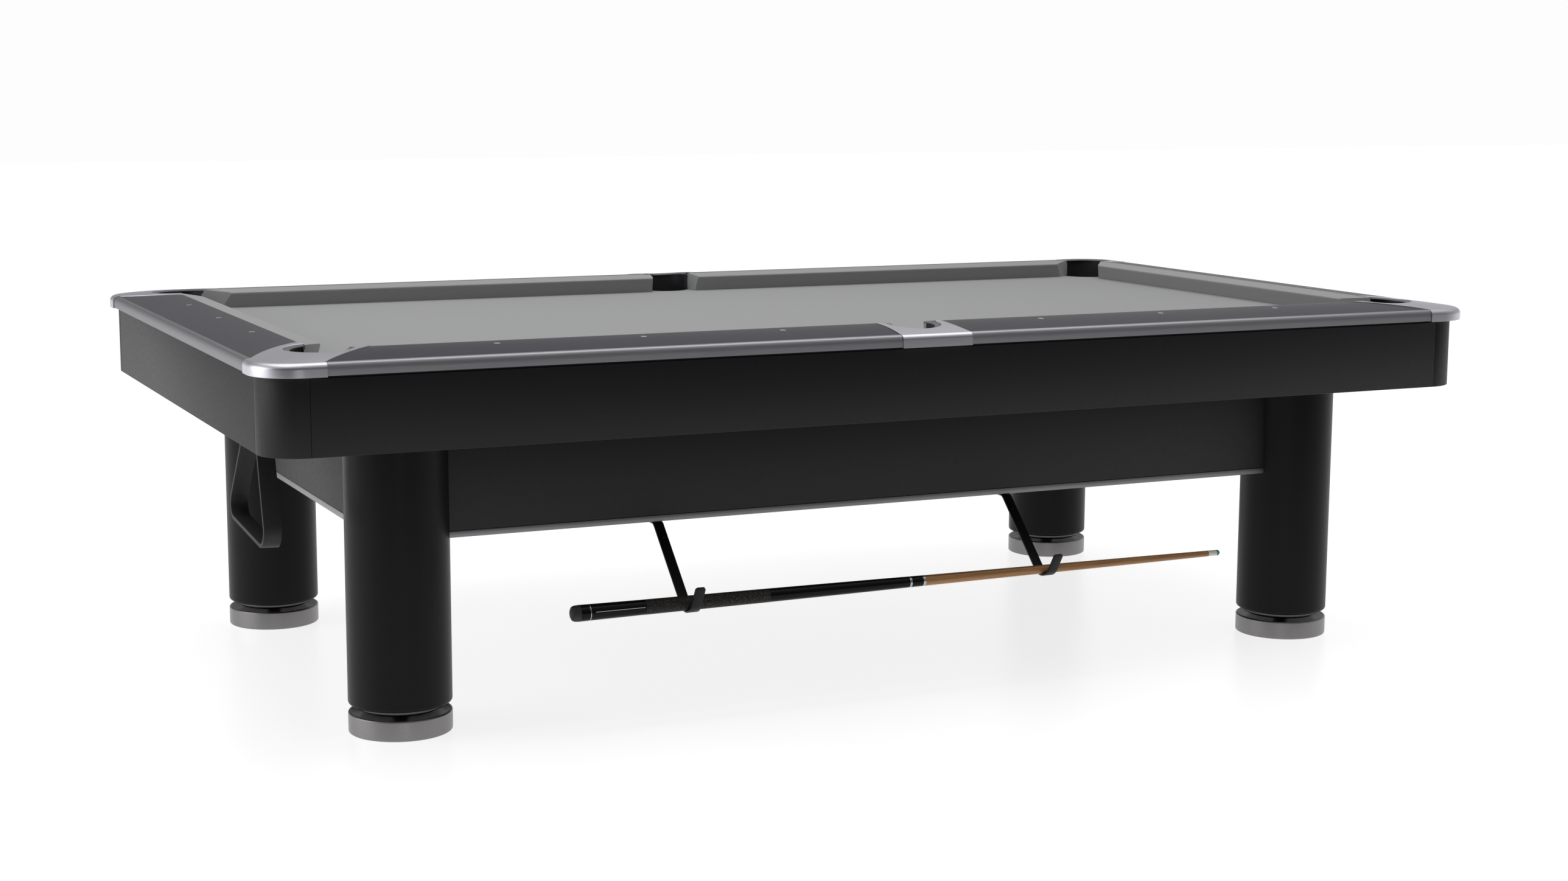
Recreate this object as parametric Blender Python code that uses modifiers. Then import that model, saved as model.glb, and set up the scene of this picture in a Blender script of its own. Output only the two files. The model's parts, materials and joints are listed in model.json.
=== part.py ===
"""A nine-foot pool table on four round legs, with levelling feet, six drop pockets,
a cue lying in two hooks under the front and a ball rack hanging behind the left skirt.

Metres, +X along the length to the right, -Y towards the front, +Z up. The origin is on the
floor under the middle of the playing field."""

import math

import bmesh
import bpy
from mathutils import Matrix, Vector

GAP = 0.0003  # between pieces that rest on or against each other

# Playing field, from nose to nose of the cushions
FIELD_X = 1.27
FIELD_Y = 0.635
CLOTH_TOP = 0.779
CLOTH_THICKNESS = 0.0015
NOSE_HEIGHT = 0.815

# Bands of the rail, as distances outside the nose
CUSHION_DEPTH = 0.050
LAMINATE_DEPTH = 0.175
TRIM_DEPTH = 0.1905
RAIL_TOP = 0.823
RAIL_FALL = 0.012
RAIL_BOTTOM = CLOTH_TOP + GAP
TRIM_BOTTOM = 0.7845
TRIM_SHOULDER = 0.8025
TRIM_ROUNDING = 0.008
OUTER_CORNER_RADIUS = 0.095
INNER_CORNER_RADIUS = 0.050
CASTING_PROUD = 0.002
CASTING_RISE = 0.0025
CASTING_BOTTOM = 0.7815
HORN_BOTTOM = 0.8133
HORN_SLACK = 0.0006  # between a horn's end and its cushion
RAIL_JOINT = 0.0005  # between the end of a laminate and its casting

# Reach of the cutters and blanks, all clear of what they aren't meant to meet
CLEAR_TOP = 0.86  # above the rails
CUT_TOP = 0.87  # above CLEAR_TOP, so that no cutter ends level with a blank
BELOW_RAILS = 0.75
CLEAR_BOTTOM = 0.60  # below the pockets
BEYOND_X = 1.55  # outside the table
BEYOND_Y = 0.90
INSIDE_X = 1.15  # on the field, past every corner casting
INSIDE_Y = 0.50
INSIDE_NOSE_Y = 0.60  # on the field, just inside the long cushions

# Pockets
CORNER_POCKET = (1.3035, 0.6685)
CORNER_POCKET_RADIUS = 0.070
CORNER_MOUTH = 0.084  # from the corner of the field to each nose tip
CORNER_FACING = math.radians(38)
FACING_DEPTH = 0.0372  # outside the nose, where a corner facing meets the pocket's circle
CUSHION_BACK_X = 1.234  # the long cushion's end at its back
CUSHION_SHY = 0.0008  # between the back of a cushion's facing and the liner
LONG_RECESS_END = 1.245  # how far along a casting is cleared for the long cushion's end
END_RECESS = (1.235, 0.610)  # the same for the end cushion: its near side and its end
SIDE_POCKET_Y = 0.712
SIDE_POCKET_RADIUS = 0.060
SIDE_MOUTH = 0.0655
SIDE_FACING = math.radians(14)
SIDE_THROAT = 0.054  # outside the nose, where a side casting's mouth meets the pocket's hole
SIDE_MOUTH_EDGE = 0.686  # how far out a side liner's rim is cut away towards the field
LINER_WALL = 0.0065
LINER_BOTTOM = 0.655
LINER_FLOOR = 0.659
LINER_MOUTH = 0.7745
LINER_BLANK_TOP = 0.85
POCKET_SIDES = 32

# Bed
SLATE_X = 1.375
SLATE_Y = 0.740
SLATE_THICKNESS = 0.025
SLATE_TOP = CLOTH_TOP - CLOTH_THICKNESS - GAP
DECK_X = 1.360
DECK_Y = 0.735
DECK_TOP = SLATE_TOP - SLATE_THICKNESS - GAP
DECK_BOTTOM = 0.6903
BED_CHAMFER = 1.975  # X + Y along the cut that opens each corner of the bed

# Cabinet
SKIRT_X = 1.4445
SKIRT_Y = 0.8075
SKIRT_THICKNESS = 0.018
SKIRT_BOTTOM = 0.6245
SKIRT_TOP = RAIL_BOTTOM - GAP
PANEL_RADIUS = 0.087
PANEL_JOINT_Y = 0.7115

# Legs, feet and stretchers
LEG_X = 1.1204
LEG_Y = 0.557
LEG_RADIUS = 0.1083
LEG_BOTTOM = 0.060
LEG_EDGE = 0.005
LEG_TOP = DECK_BOTTOM - GAP
ROUND_SIDES = 36
FOOT_TOP = 0.043
COLLAR_RADIUS = 0.092
COLLAR_BOTTOM = 0.0465
COLLAR_TOP = 0.0585
STEM_RADIUS = 0.016
STEM_BOTTOM = 0.0285
STEM_TOP = 0.160
BORE_RADIUS = 0.0165
BORE_TOP = 0.170
SOCKET_FLOOR = 0.028
BAR_HOLE_RADIUS = 0.0035
BAR_HOLES = 4
STRETCHER_Y = 0.603
STRETCHER_X = 1.168
STRETCHER_THICKNESS = 0.030
STRETCHER_BOTTOM = 0.4065
LEG_CUT = (0.3, 0.8)  # heights of the cutters that fit the stretchers to the legs

# Cue and its hooks
CUE_BUTT = -0.822
CUE_Y = -0.781
CUE_Z = 0.264
CUE_RADII = (
    (0.0000, 0.0110),
    (0.0025, 0.0150),
    (0.0075, 0.0168),
    (0.0175, 0.0174),
    (0.1600, 0.0160),
    (0.4440, 0.0147),
    (0.6730, 0.0131),
    (0.8190, 0.0117),
    (1.4230, 0.0078),
    (1.5635, 0.0067),
    (1.5910, 0.0065),
    (1.5940, 0.0045),
)
CUE_SIDES = 24
HOOK_PLACES = (("cue_hook_left", -0.5576), ("cue_hook_right", 0.3047))
HOOK_WIDTH = 0.0227
HOOK_THICKNESS = 0.004
HOOK_CRADLE = 0.040
HOOK_TAB_END = -0.576
HOOK_BEND = (-0.603, STRETCHER_BOTTOM - GAP - HOOK_THICKNESS / 2)
HOOK_BEND_REACH = 0.007  # how far the bend's rounding runs each way
HOOK_TIP = (-0.838, 0.307)
HOOK_TIP_RADIUS = 0.006

# Ball rack and its peg
RACK_SIDE = 0.355
RACK_WALL = 0.008
RACK_DEPTH = 0.036
RACK_CORNER = 0.034
RACK_CENTRE_Y = -0.4909
RACK_CENTRE_Z = 0.5279
RACK_PEG_X = -1.3875
RACK_TILT = 0.072
RACK_LEAN = 0.043
PEG_RADIUS = 0.004
PEG_LENGTH = 0.062
PEG_CLEARANCE = 0.001

CORNERS = (
    ("front_left", -1, -1),
    ("front_right", 1, -1),
    ("back_left", -1, 1),
    ("back_right", 1, 1),
)
SIDES = (("front", -1), ("back", 1))
ENDS = (("left", -1), ("right", 1))


# --- Scene and helpers -------------------------------------------------------------------


def clear_scene():
    for obj in list(bpy.data.objects):
        bpy.data.objects.remove(obj, do_unlink=True)


def new_collection(name, hidden=False):
    collection = bpy.data.collections.new(name)
    collection.hide_render = hidden
    bpy.context.scene.collection.children.link(collection)
    return collection


def material(name, colour, roughness, metallic=0.0):
    made = bpy.data.materials.new(name)
    made.use_nodes = True
    shader = made.node_tree.nodes["Principled BSDF"]
    shader.inputs["Base Color"].default_value = (*colour, 1.0)
    shader.inputs["Roughness"].default_value = roughness
    shader.inputs["Metallic"].default_value = metallic
    return made


def finish_piece(obj, look, smooth=False):
    """Puts a finished piece in the table's collection with its material."""
    PARTS.objects.link(obj)
    obj.data.materials.append(look)
    if smooth:
        obj.data.shade_smooth()
        obj.data.set_sharp_from_angle(angle=math.radians(40))
    return obj


def finish_cutter(obj):
    CUTTERS.objects.link(obj)
    obj.hide_render = True
    obj.display_type = "WIRE"
    return obj


def mesh_object(name, mesh_builder):
    mesh = bpy.data.meshes.new(name)
    bmesh.ops.recalc_face_normals(mesh_builder, faces=mesh_builder.faces)
    mesh_builder.to_mesh(mesh)
    mesh_builder.free()
    return bpy.data.objects.new(name, mesh)


def box(name, low, high):
    builder = bmesh.new()
    bmesh.ops.create_cube(builder, size=1)
    low, high = Vector(low), Vector(high)
    size = high - low
    bmesh.ops.scale(builder, vec=size, verts=builder.verts)
    bmesh.ops.translate(builder, vec=(low + high) / 2, verts=builder.verts)
    return mesh_object(name, builder)


def cylinder(name, centre, radius, bottom, top, sides):
    builder = bmesh.new()
    middle = Matrix.Translation((centre[0], centre[1], (bottom + top) / 2))
    bmesh.ops.create_cone(
        builder,
        cap_ends=True,
        segments=sides,
        radius1=radius,
        radius2=radius,
        depth=top - bottom,
        matrix=middle,
    )
    return mesh_object(name, builder)


def plate(name, outlines, thickness, place):
    """A flat plate from closed outlines in its own XY plane, centred on that plane."""
    curve = bpy.data.curves.new(name, "CURVE")
    curve.dimensions = "2D"
    curve.fill_mode = "BOTH"
    curve.extrude = thickness / 2
    for outline in outlines:
        spline = curve.splines.new("POLY")
        spline.points.add(len(outline) - 1)
        spline.use_cyclic_u = True
        for point, (x, y) in zip(spline.points, outline):
            point.co = (x, y, 0, 1)
    flat = bpy.data.objects.new(name + "_curve", curve)
    bpy.context.scene.collection.objects.link(flat)
    flat.matrix_world = place
    bpy.context.view_layer.update()
    graph = bpy.context.evaluated_depsgraph_get()
    mesh = bpy.data.meshes.new_from_object(flat.evaluated_get(graph))
    bpy.data.objects.remove(flat, do_unlink=True)
    builder = bmesh.new()
    builder.from_mesh(mesh)
    bmesh.ops.remove_doubles(builder, verts=builder.verts, dist=1e-6)
    bpy.data.meshes.remove(mesh)
    made = mesh_object(name, builder)
    made.matrix_world = place
    return made


def slab(name, outline, bottom, top):
    """A level plate between two heights."""
    middle = Matrix.Translation((0, 0, (bottom + top) / 2))
    return plate(name, [outline], top - bottom, middle)


def turned(name, profile, sides, place):
    """A profile of (radius, height) points turned about the Z axis of its place."""
    mesh = bpy.data.meshes.new(name)
    points = [(radius, 0, height) for radius, height in profile]
    edges = [(i, i + 1) for i in range(len(points) - 1)]
    mesh.from_pydata(points, edges, [])
    made = bpy.data.objects.new(name, mesh)
    screw = made.modifiers.new("turn", "SCREW")
    screw.steps = sides
    screw.render_steps = sides
    screw.use_merge_vertices = True
    screw.merge_threshold = 1e-5
    screw.use_smooth_shade = True
    made.matrix_world = place
    return made


def lofted(name, loops):
    """A closed solid through loops of equally many points, stacked upwards."""
    builder = bmesh.new()
    rings = [[builder.verts.new(point) for point in loop] for loop in loops]
    count = len(rings[0])
    for lower, upper in zip(rings, rings[1:]):
        for i in range(count):
            j = (i + 1) % count
            builder.faces.new((lower[i], lower[j], upper[j], upper[i]))
    builder.faces.new(rings[0][::-1])
    builder.faces.new(rings[-1])
    return mesh_object(name, builder)


def boolean(obj, operation, cutter):
    modifier = obj.modifiers.new(operation.lower(), "BOOLEAN")
    modifier.operation = operation
    modifier.object = cutter
    modifier.solver = "EXACT"


def arc(centre, radius, start, end, steps):
    """Points on an arc, with the angles in degrees."""
    turns = [math.radians(start + (end - start) * i / steps) for i in range(steps + 1)]
    return [(centre[0] + radius * math.cos(a), centre[1] + radius * math.sin(a)) for a in turns]


def bowed(start, control, end, steps):
    """Points on a quadratic curve that leaves start and reaches end heading past control."""
    points = []
    for i in range(steps + 1):
        t = i / steps
        weights = ((1 - t) ** 2, 2 * t * (1 - t), t * t)
        points.append(
            tuple(sum(w * p[k] for w, p in zip(weights, (start, control, end))) for k in (0, 1))
        )
    return points


def moved(points, dx, dy):
    return [(x + dx, y + dy) for x, y in points]


def mirrored(points, sign_x, sign_y):
    return [(sign_x * x, sign_y * y) for x, y in points]


def swapped(points):
    """The same shape on the other side of the corner's diagonal."""
    return [(FIELD_X + y - FIELD_Y, FIELD_Y + x - FIELD_X) for x, y in points]


# --- The rail's crowned top --------------------------------------------------------------


def rail_height(depth):
    """Height of the rail top at this distance outside the nose: level, then falling away."""
    fall = max(depth - CUSHION_DEPTH, 0) / (LAMINATE_DEPTH - CUSHION_DEPTH)
    return RAIL_TOP - RAIL_FALL * fall**1.6


def crown_levels():
    """(distance outside the nose, height) from the foot of the trim up to the level top."""
    levels = [(TRIM_DEPTH, CLEAR_BOTTOM)]
    centre = (TRIM_DEPTH - TRIM_ROUNDING, TRIM_SHOULDER)
    levels += arc(centre, TRIM_ROUNDING, 0, 90, 3)
    steps = 6
    for i in range(steps + 1):
        depth = LAMINATE_DEPTH + (CUSHION_DEPTH - LAMINATE_DEPTH) * i / steps
        levels.append((depth, rail_height(depth)))
    return levels


def rounded_rectangle(half_x, half_y, radius, steps=10):
    points = []
    for sign_x, sign_y, start in ((1, 1, 0), (-1, 1, 90), (-1, -1, 180), (1, -1, 270)):
        centre = (sign_x * (half_x - radius), sign_y * (half_y - radius))
        points += arc(centre, radius, start, start + 90, steps)
    return points


def crown(name, proud, rise):
    """The whole table top as one crowned block, from which rails, trims and castings are cut."""
    loops = []
    for depth, height in crown_levels():
        share = (depth - CUSHION_DEPTH) / (TRIM_DEPTH - CUSHION_DEPTH)
        radius = INNER_CORNER_RADIUS + (OUTER_CORNER_RADIUS - INNER_CORNER_RADIUS) * share
        reach = depth + proud
        outline = rounded_rectangle(FIELD_X + reach, FIELD_Y + reach, radius)
        loops.append([(x, y, height + rise) for x, y in outline])
    return finish_cutter(lofted(name, loops))


# --- Outlines in plan, for the corner at +X +Y -------------------------------------------

# Where the casting meets the laminate of a long rail and of an end rail
LONG_EDGE = bowed((1.2185, 0.685), (1.312, 0.786), (1.325, 0.8097), 6)
END_EDGE = bowed((1.320, 0.550), (1.400, 0.600), (1.4447, 0.699), 6)
LONG_HORN = (1.2012, 0.666)
END_HORN = (1.301, 0.538)
TRIM_JOINT_X = 1.3275
TRIM_JOINT_Y = 0.699
SIDE_EDGE = bowed((0.079, 0.685), (0.079, 0.765), (0.084, 0.8097), 5)
SIDE_HORN = (0.079, 0.664)


def corner_facing(depth):
    """A point on the long rail's facing, this far outside the nose line."""
    return (FIELD_X - CORNER_MOUTH + depth / math.tan(CORNER_FACING), FIELD_Y + depth)


def side_facing(depth):
    return (SIDE_MOUTH - depth * math.tan(SIDE_FACING), FIELD_Y + depth)


def corner_casting_outline():
    horn_depth = LONG_HORN[1] - FIELD_Y
    long_mouth = [corner_facing(horn_depth), corner_facing(FACING_DEPTH)]
    end_mouth = swapped(long_mouth)
    return [
        LONG_HORN,
        *LONG_EDGE,
        (TRIM_JOINT_X, LONG_EDGE[-1][1]),
        (TRIM_JOINT_X, BEYOND_Y),
        (BEYOND_X, BEYOND_Y),
        (BEYOND_X, TRIM_JOINT_Y),
        *END_EDGE[::-1],
        END_HORN,
        end_mouth[0],
        end_mouth[1],
        long_mouth[1],
        long_mouth[0],
    ]


def side_casting_outline():
    """For the middle of the +Y side."""
    half = [
        side_facing(SIDE_THROAT),
        side_facing(SIDE_HORN[1] - FIELD_Y),
        SIDE_HORN,
        *SIDE_EDGE,
        (SIDE_EDGE[-1][0], BEYOND_Y),
    ]
    return half + mirrored(half, -1, 1)[::-1]


def long_rail_outline():
    side_end = moved(SIDE_EDGE, GAP, 0)
    corner_end = moved(LONG_EDGE, -RAIL_JOINT, 0)
    return side_end + corner_end[::-1]


def end_rail_outline():
    corner_end = moved(END_EDGE, 0, -RAIL_JOINT)
    return corner_end + mirrored(corner_end, 1, -1)[::-1]


def long_cushion_outline():
    back = FIELD_Y + CUSHION_DEPTH - GAP
    return [
        side_facing(0),
        corner_facing(0),
        corner_facing(FACING_DEPTH - CUSHION_SHY),
        (CUSHION_BACK_X, back),
        (side_facing(CUSHION_DEPTH)[0] + 0.002, back),
    ]


def end_cushion_outline():
    back = FIELD_Y + CUSHION_DEPTH - GAP
    facing = [corner_facing(FACING_DEPTH - CUSHION_SHY), corner_facing(0)]
    half = swapped([(CUSHION_BACK_X, back), *facing])
    return half + mirrored(half, 1, -1)[::-1]


def cushion_profile():
    """(distance outside the nose, height): the nose overhangs the cloth."""
    return [
        (0.0135, RAIL_BOTTOM),
        (0.0115, 0.790),
        (0.0010, 0.8125),
        (0.0, NOSE_HEIGHT),
        (0.0015, 0.8168),
        (0.0050, 0.8178),
        (CUSHION_DEPTH - GAP, RAIL_TOP),
        (CUSHION_DEPTH - GAP, RAIL_BOTTOM),
    ]


# --- Bed ---------------------------------------------------------------------------------


def bed_outline(half_x, half_y):
    corner = [(half_x, BED_CHAMFER - half_x), (BED_CHAMFER - half_y, half_y)]
    points = []
    for sign_x, sign_y, order in ((1, 1, 1), (-1, 1, -1), (-1, -1, 1), (1, -1, -1)):
        points += mirrored(corner[::order], sign_x, sign_y)
    return points


def pocket_centres():
    for name, sign_x, sign_y in CORNERS:
        yield name, (sign_x * CORNER_POCKET[0], sign_y * CORNER_POCKET[1]), CORNER_POCKET_RADIUS
    for name, sign_y in SIDES:
        yield "side_" + name, (0.0, sign_y * SIDE_POCKET_Y), SIDE_POCKET_RADIUS


def pocket_cutters():
    """Wide cutters for the bed, and the exact holes of the castings."""
    bed, castings = {}, {}
    for name, centre, radius in pocket_centres():
        wide = cylinder("bed_cut_" + name, centre, radius + GAP, CLEAR_BOTTOM, CLEAR_TOP, POCKET_SIDES)
        exact = cylinder("hole_cut_" + name, centre, radius, BELOW_RAILS, CUT_TOP, POCKET_SIDES)
        bed[name] = finish_cutter(wide)
        castings[name] = finish_cutter(exact)
    return bed, castings


def build_bed(cutters):
    layers = (
        ("bed_frame", DECK_X, DECK_Y, DECK_BOTTOM, DECK_TOP, BLACK_BOARD),
        ("slate", SLATE_X, SLATE_Y, SLATE_TOP - SLATE_THICKNESS, SLATE_TOP, SLATE_STONE),
        ("bed_cloth", SLATE_X, SLATE_Y, CLOTH_TOP - CLOTH_THICKNESS, CLOTH_TOP, CLOTH),
    )
    for name, half_x, half_y, bottom, top, look in layers:
        layer = slab(name, bed_outline(half_x, half_y), bottom, top)
        for cutter in cutters.values():
            boolean(layer, "DIFFERENCE", cutter)
        finish_piece(layer, look)


# --- Rails, cushions, trims, castings ----------------------------------------------------


def build_rails(rail_crown):
    for name, sign_x, sign_y in CORNERS:
        outline = mirrored(long_rail_outline(), sign_x, sign_y)
        rail = slab("rail_" + name, outline, RAIL_BOTTOM, CLEAR_TOP)
        boolean(rail, "INTERSECT", rail_crown)
        finish_piece(rail, LAMINATE)
    for name, sign_x in ENDS:
        outline = mirrored(end_rail_outline(), sign_x, 1)
        rail = slab("rail_" + name, outline, RAIL_BOTTOM, CLEAR_TOP)
        boolean(rail, "INTERSECT", rail_crown)
        finish_piece(rail, LAMINATE)


def cushion_bar(name, outline, along_x, sign, horns):
    """The cushion's profile run along its rail, cut to its outline and under the horns."""
    length = 2 * BEYOND_X
    if along_x:
        section = [(sign * (FIELD_Y + depth), height) for depth, height in cushion_profile()]
        turn = Matrix(((0, 0, 1, 0), (1, 0, 0, 0), (0, 1, 0, 0), (0, 0, 0, 1)))
    else:
        section = [(sign * (FIELD_X + depth), height) for depth, height in cushion_profile()]
        turn = Matrix(((1, 0, 0, 0), (0, 0, -1, 0), (0, 1, 0, 0), (0, 0, 0, 1)))
    bar = plate(name, [section], length, turn)
    plan = finish_cutter(slab(name + "_plan", outline, BELOW_RAILS, CLEAR_TOP))
    boolean(bar, "INTERSECT", plan)
    for horn in horns:
        boolean(bar, "DIFFERENCE", horn)
    finish_piece(bar, CLOTH)


def horn_cutter(name, outline):
    return finish_cutter(slab(name, outline, HORN_BOTTOM - GAP, CLEAR_TOP))


def long_horn_space():
    """Room above a long cushion's end for the corner casting's horn."""
    near_x, near_y = LONG_HORN[0] - HORN_SLACK, LONG_HORN[1] - GAP
    far_y = LONG_EDGE[0][1] + 0.015
    lean = (LONG_EDGE[0][0] - LONG_HORN[0]) / (LONG_EDGE[0][1] - LONG_HORN[1])
    return [
        (near_x, near_y),
        (FIELD_X, near_y),
        (FIELD_X, far_y),
        (near_x + lean * (far_y - near_y), far_y),
    ]


def end_horn_space():
    near_x, near_y = END_HORN[0] - GAP, END_HORN[1] - HORN_SLACK
    far_x = END_EDGE[0][0] + 0.015
    lean = (END_EDGE[0][1] - END_HORN[1]) / (END_EDGE[0][0] - END_HORN[0])
    return [
        (near_x, near_y),
        (far_x, near_y + lean * (far_x - near_x)),
        (far_x, FIELD_Y),
        (near_x, FIELD_Y),
    ]


def side_horn_space():
    edge_x = SIDE_HORN[0] + GAP
    half = [(edge_x, SIDE_HORN[1] - GAP), (edge_x, SIDE_EDGE[0][1] + 0.015)]
    return half + mirrored(half, -1, 1)[::-1]


def build_cushions():
    side_horns, corner_horns = {}, {}
    for name, sign_y in SIDES:
        outline = mirrored(side_horn_space(), 1, sign_y)
        side_horns[sign_y] = horn_cutter("side_horn_cut_" + name, outline)
    for name, sign_x, sign_y in CORNERS:
        long_space = horn_cutter("horn_cut_" + name, mirrored(long_horn_space(), sign_x, sign_y))
        end_space = horn_cutter("end_horn_cut_" + name, mirrored(end_horn_space(), sign_x, sign_y))
        corner_horns[sign_x, sign_y] = (long_space, end_space)
    for name, sign_x, sign_y in CORNERS:
        outline = mirrored(long_cushion_outline(), sign_x, sign_y)
        horns = (side_horns[sign_y], corner_horns[sign_x, sign_y][0])
        cushion_bar("cushion_" + name, outline, True, sign_y, horns)
    for name, sign_x in ENDS:
        outline = mirrored(end_cushion_outline(), sign_x, 1)
        horns = (corner_horns[sign_x, -1][1], corner_horns[sign_x, 1][1])
        cushion_bar("cushion_" + name, outline, False, sign_x, horns)


def build_trims(rail_crown):
    inner_y = FIELD_Y + LAMINATE_DEPTH
    inner_x = FIELD_X + LAMINATE_DEPTH
    for name, sign_y in SIDES:
        reach = TRIM_JOINT_X - GAP
        outline = [(-reach, inner_y), (reach, inner_y), (reach, BEYOND_Y), (-reach, BEYOND_Y)]
        trim = slab("trim_" + name, mirrored(outline, 1, sign_y), TRIM_BOTTOM, CLEAR_TOP)
        boolean(trim, "INTERSECT", rail_crown)
        finish_piece(trim, TRIM_METAL)
    for name, sign_x in ENDS:
        reach = TRIM_JOINT_Y - GAP
        outline = [(inner_x, -reach), (BEYOND_X, -reach), (BEYOND_X, reach), (inner_x, reach)]
        trim = slab("trim_" + name, mirrored(outline, sign_x, 1), TRIM_BOTTOM, CLEAR_TOP)
        boolean(trim, "INTERSECT", rail_crown)
        finish_piece(trim, TRIM_METAL)


def cushion_recess(name, sign_x, sign_y):
    """Cutters that clear the cushion ends from under a corner casting's two horns."""
    near_x, end_y = END_RECESS
    long_low = (INSIDE_X, INSIDE_NOSE_Y, BELOW_RAILS)
    long_high = (LONG_RECESS_END, FIELD_Y + CUSHION_DEPTH, HORN_BOTTOM)
    end_low = (near_x, INSIDE_Y, BELOW_RAILS)
    end_high = (FIELD_X + CUSHION_DEPTH, end_y, HORN_BOTTOM)
    cutters = []
    for part, low, high in (("long", long_low, long_high), ("end", end_low, end_high)):
        cutter = box(name + "_recess_" + part, low, high)
        cutter.data.transform(Matrix.Diagonal((sign_x, sign_y, 1, 1)))
        if sign_x * sign_y < 0:
            cutter.data.flip_normals()
        cutters.append(finish_cutter(cutter))
    return cutters


def build_corner_castings(casting_crown, holes):
    for name, sign_x, sign_y in CORNERS:
        outline = mirrored(corner_casting_outline(), sign_x, sign_y)
        casting = slab("casting_" + name, outline, CASTING_BOTTOM, CLEAR_TOP)
        boolean(casting, "INTERSECT", casting_crown)
        boolean(casting, "DIFFERENCE", holes[name])
        for recess in cushion_recess(name, sign_x, sign_y):
            boolean(casting, "DIFFERENCE", recess)
        finish_piece(casting, CASTING_METAL, smooth=True)


def side_band(near, far, sign_y):
    """A rectangle across the side casting, between two distances from the middle line."""
    reach = 0.2
    return mirrored([(-reach, near), (reach, near), (reach, far), (-reach, far)], 1, sign_y)


def build_side_castings(casting_crown, trim_clearance, holes):
    """Each saddles its long trim, which runs through behind its face."""
    for name, sign_y in SIDES:
        outline = mirrored(side_casting_outline(), 1, sign_y)
        casting = slab("casting_side_" + name, outline, CASTING_BOTTOM, CLEAR_TOP)
        boolean(casting, "INTERSECT", casting_crown)
        boolean(casting, "DIFFERENCE", holes["side_" + name])
        band = side_band(FIELD_Y + LAMINATE_DEPTH - GAP, BEYOND_Y, sign_y)
        trim_space = slab("trim_space_" + name, band, TRIM_BOTTOM - GAP, CUT_TOP)
        boolean(trim_space, "INTERSECT", trim_clearance)
        boolean(casting, "DIFFERENCE", finish_cutter(trim_space))
        band = side_band(INSIDE_NOSE_Y, FIELD_Y + CUSHION_DEPTH, sign_y)
        recess = slab("side_recess_" + name, band, BELOW_RAILS, HORN_BOTTOM)
        boolean(casting, "DIFFERENCE", finish_cutter(recess))
        finish_piece(casting, CASTING_METAL, smooth=True)


def mouth_outline(centre):
    """The part of a pocket's circle on the field side of its cushions' facings."""
    if centre[0] == 0:
        return side_band(INSIDE_NOSE_Y, SIDE_MOUTH_EDGE, math.copysign(1, centre[1]))
    near = corner_facing(FACING_DEPTH)
    far = swapped([near])[0]
    outline = [near, far, (far[0], INSIDE_Y), (INSIDE_X, INSIDE_Y), (INSIDE_X, near[1])]
    return mirrored(outline, math.copysign(1, centre[0]), math.copysign(1, centre[1]))


def build_liners(casting_crown):
    """Cups under the pockets, open to the field above the slate's edge."""
    for name, centre, radius in pocket_centres():
        outer = radius - 0.0004
        inner = outer - LINER_WALL
        profile = [
            (0, LINER_FLOOR),
            (inner, LINER_FLOOR),
            (inner, LINER_BLANK_TOP),
            (outer, LINER_BLANK_TOP),
            (outer, LINER_BOTTOM),
            (0, LINER_BOTTOM),
        ]
        place = Matrix.Translation((*centre, 0))
        liner = turned("pocket_liner_" + name, profile, POCKET_SIDES, place)
        boolean(liner, "INTERSECT", casting_crown)
        mouth = slab("mouth_cut_" + name, mouth_outline(centre), LINER_MOUTH, CUT_TOP)
        boolean(liner, "DIFFERENCE", finish_cutter(mouth))
        finish_piece(liner, LINER_RUBBER)


# --- Cabinet -----------------------------------------------------------------------------


def build_skirts():
    inner_y = SKIRT_Y - SKIRT_THICKNESS
    inner_x = SKIRT_X - SKIRT_THICKNESS
    reach_x = SKIRT_X - PANEL_RADIUS
    reach_y = PANEL_JOINT_Y
    for name, sign_y in SIDES:
        low_y, high_y = sorted((sign_y * inner_y, sign_y * SKIRT_Y))
        low, high = (-reach_x, low_y, SKIRT_BOTTOM), (reach_x, high_y, SKIRT_TOP)
        finish_piece(box("skirt_" + name, low, high), BLACK_BOARD)
    for name, sign_x in ENDS:
        low_x, high_x = sorted((sign_x * inner_x, sign_x * SKIRT_X))
        low, high = (low_x, -reach_y, SKIRT_BOTTOM), (high_x, reach_y, SKIRT_TOP)
        finish_piece(box("skirt_" + name, low, high), BLACK_BOARD)


def corner_panel_outline():
    centre = (SKIRT_X - PANEL_RADIUS, SKIRT_Y - PANEL_RADIUS)
    joint_turn = math.degrees(GAP / PANEL_RADIUS)
    outer = arc(centre, PANEL_RADIUS, 90 - joint_turn, 0, 10)
    inner = arc(centre, PANEL_RADIUS - SKIRT_THICKNESS, 0, 90 - 1.5 * joint_turn, 10)
    joint = PANEL_JOINT_Y + GAP
    return [*outer, (SKIRT_X, joint), (SKIRT_X - SKIRT_THICKNESS, joint), *inner]


def build_corner_panels():
    for name, sign_x, sign_y in CORNERS:
        outline = mirrored(corner_panel_outline(), sign_x, sign_y)
        panel = slab("corner_panel_" + name, outline, SKIRT_BOTTOM, CASTING_BOTTOM - GAP)
        finish_piece(panel, BLACK_BOARD, smooth=True)


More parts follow.
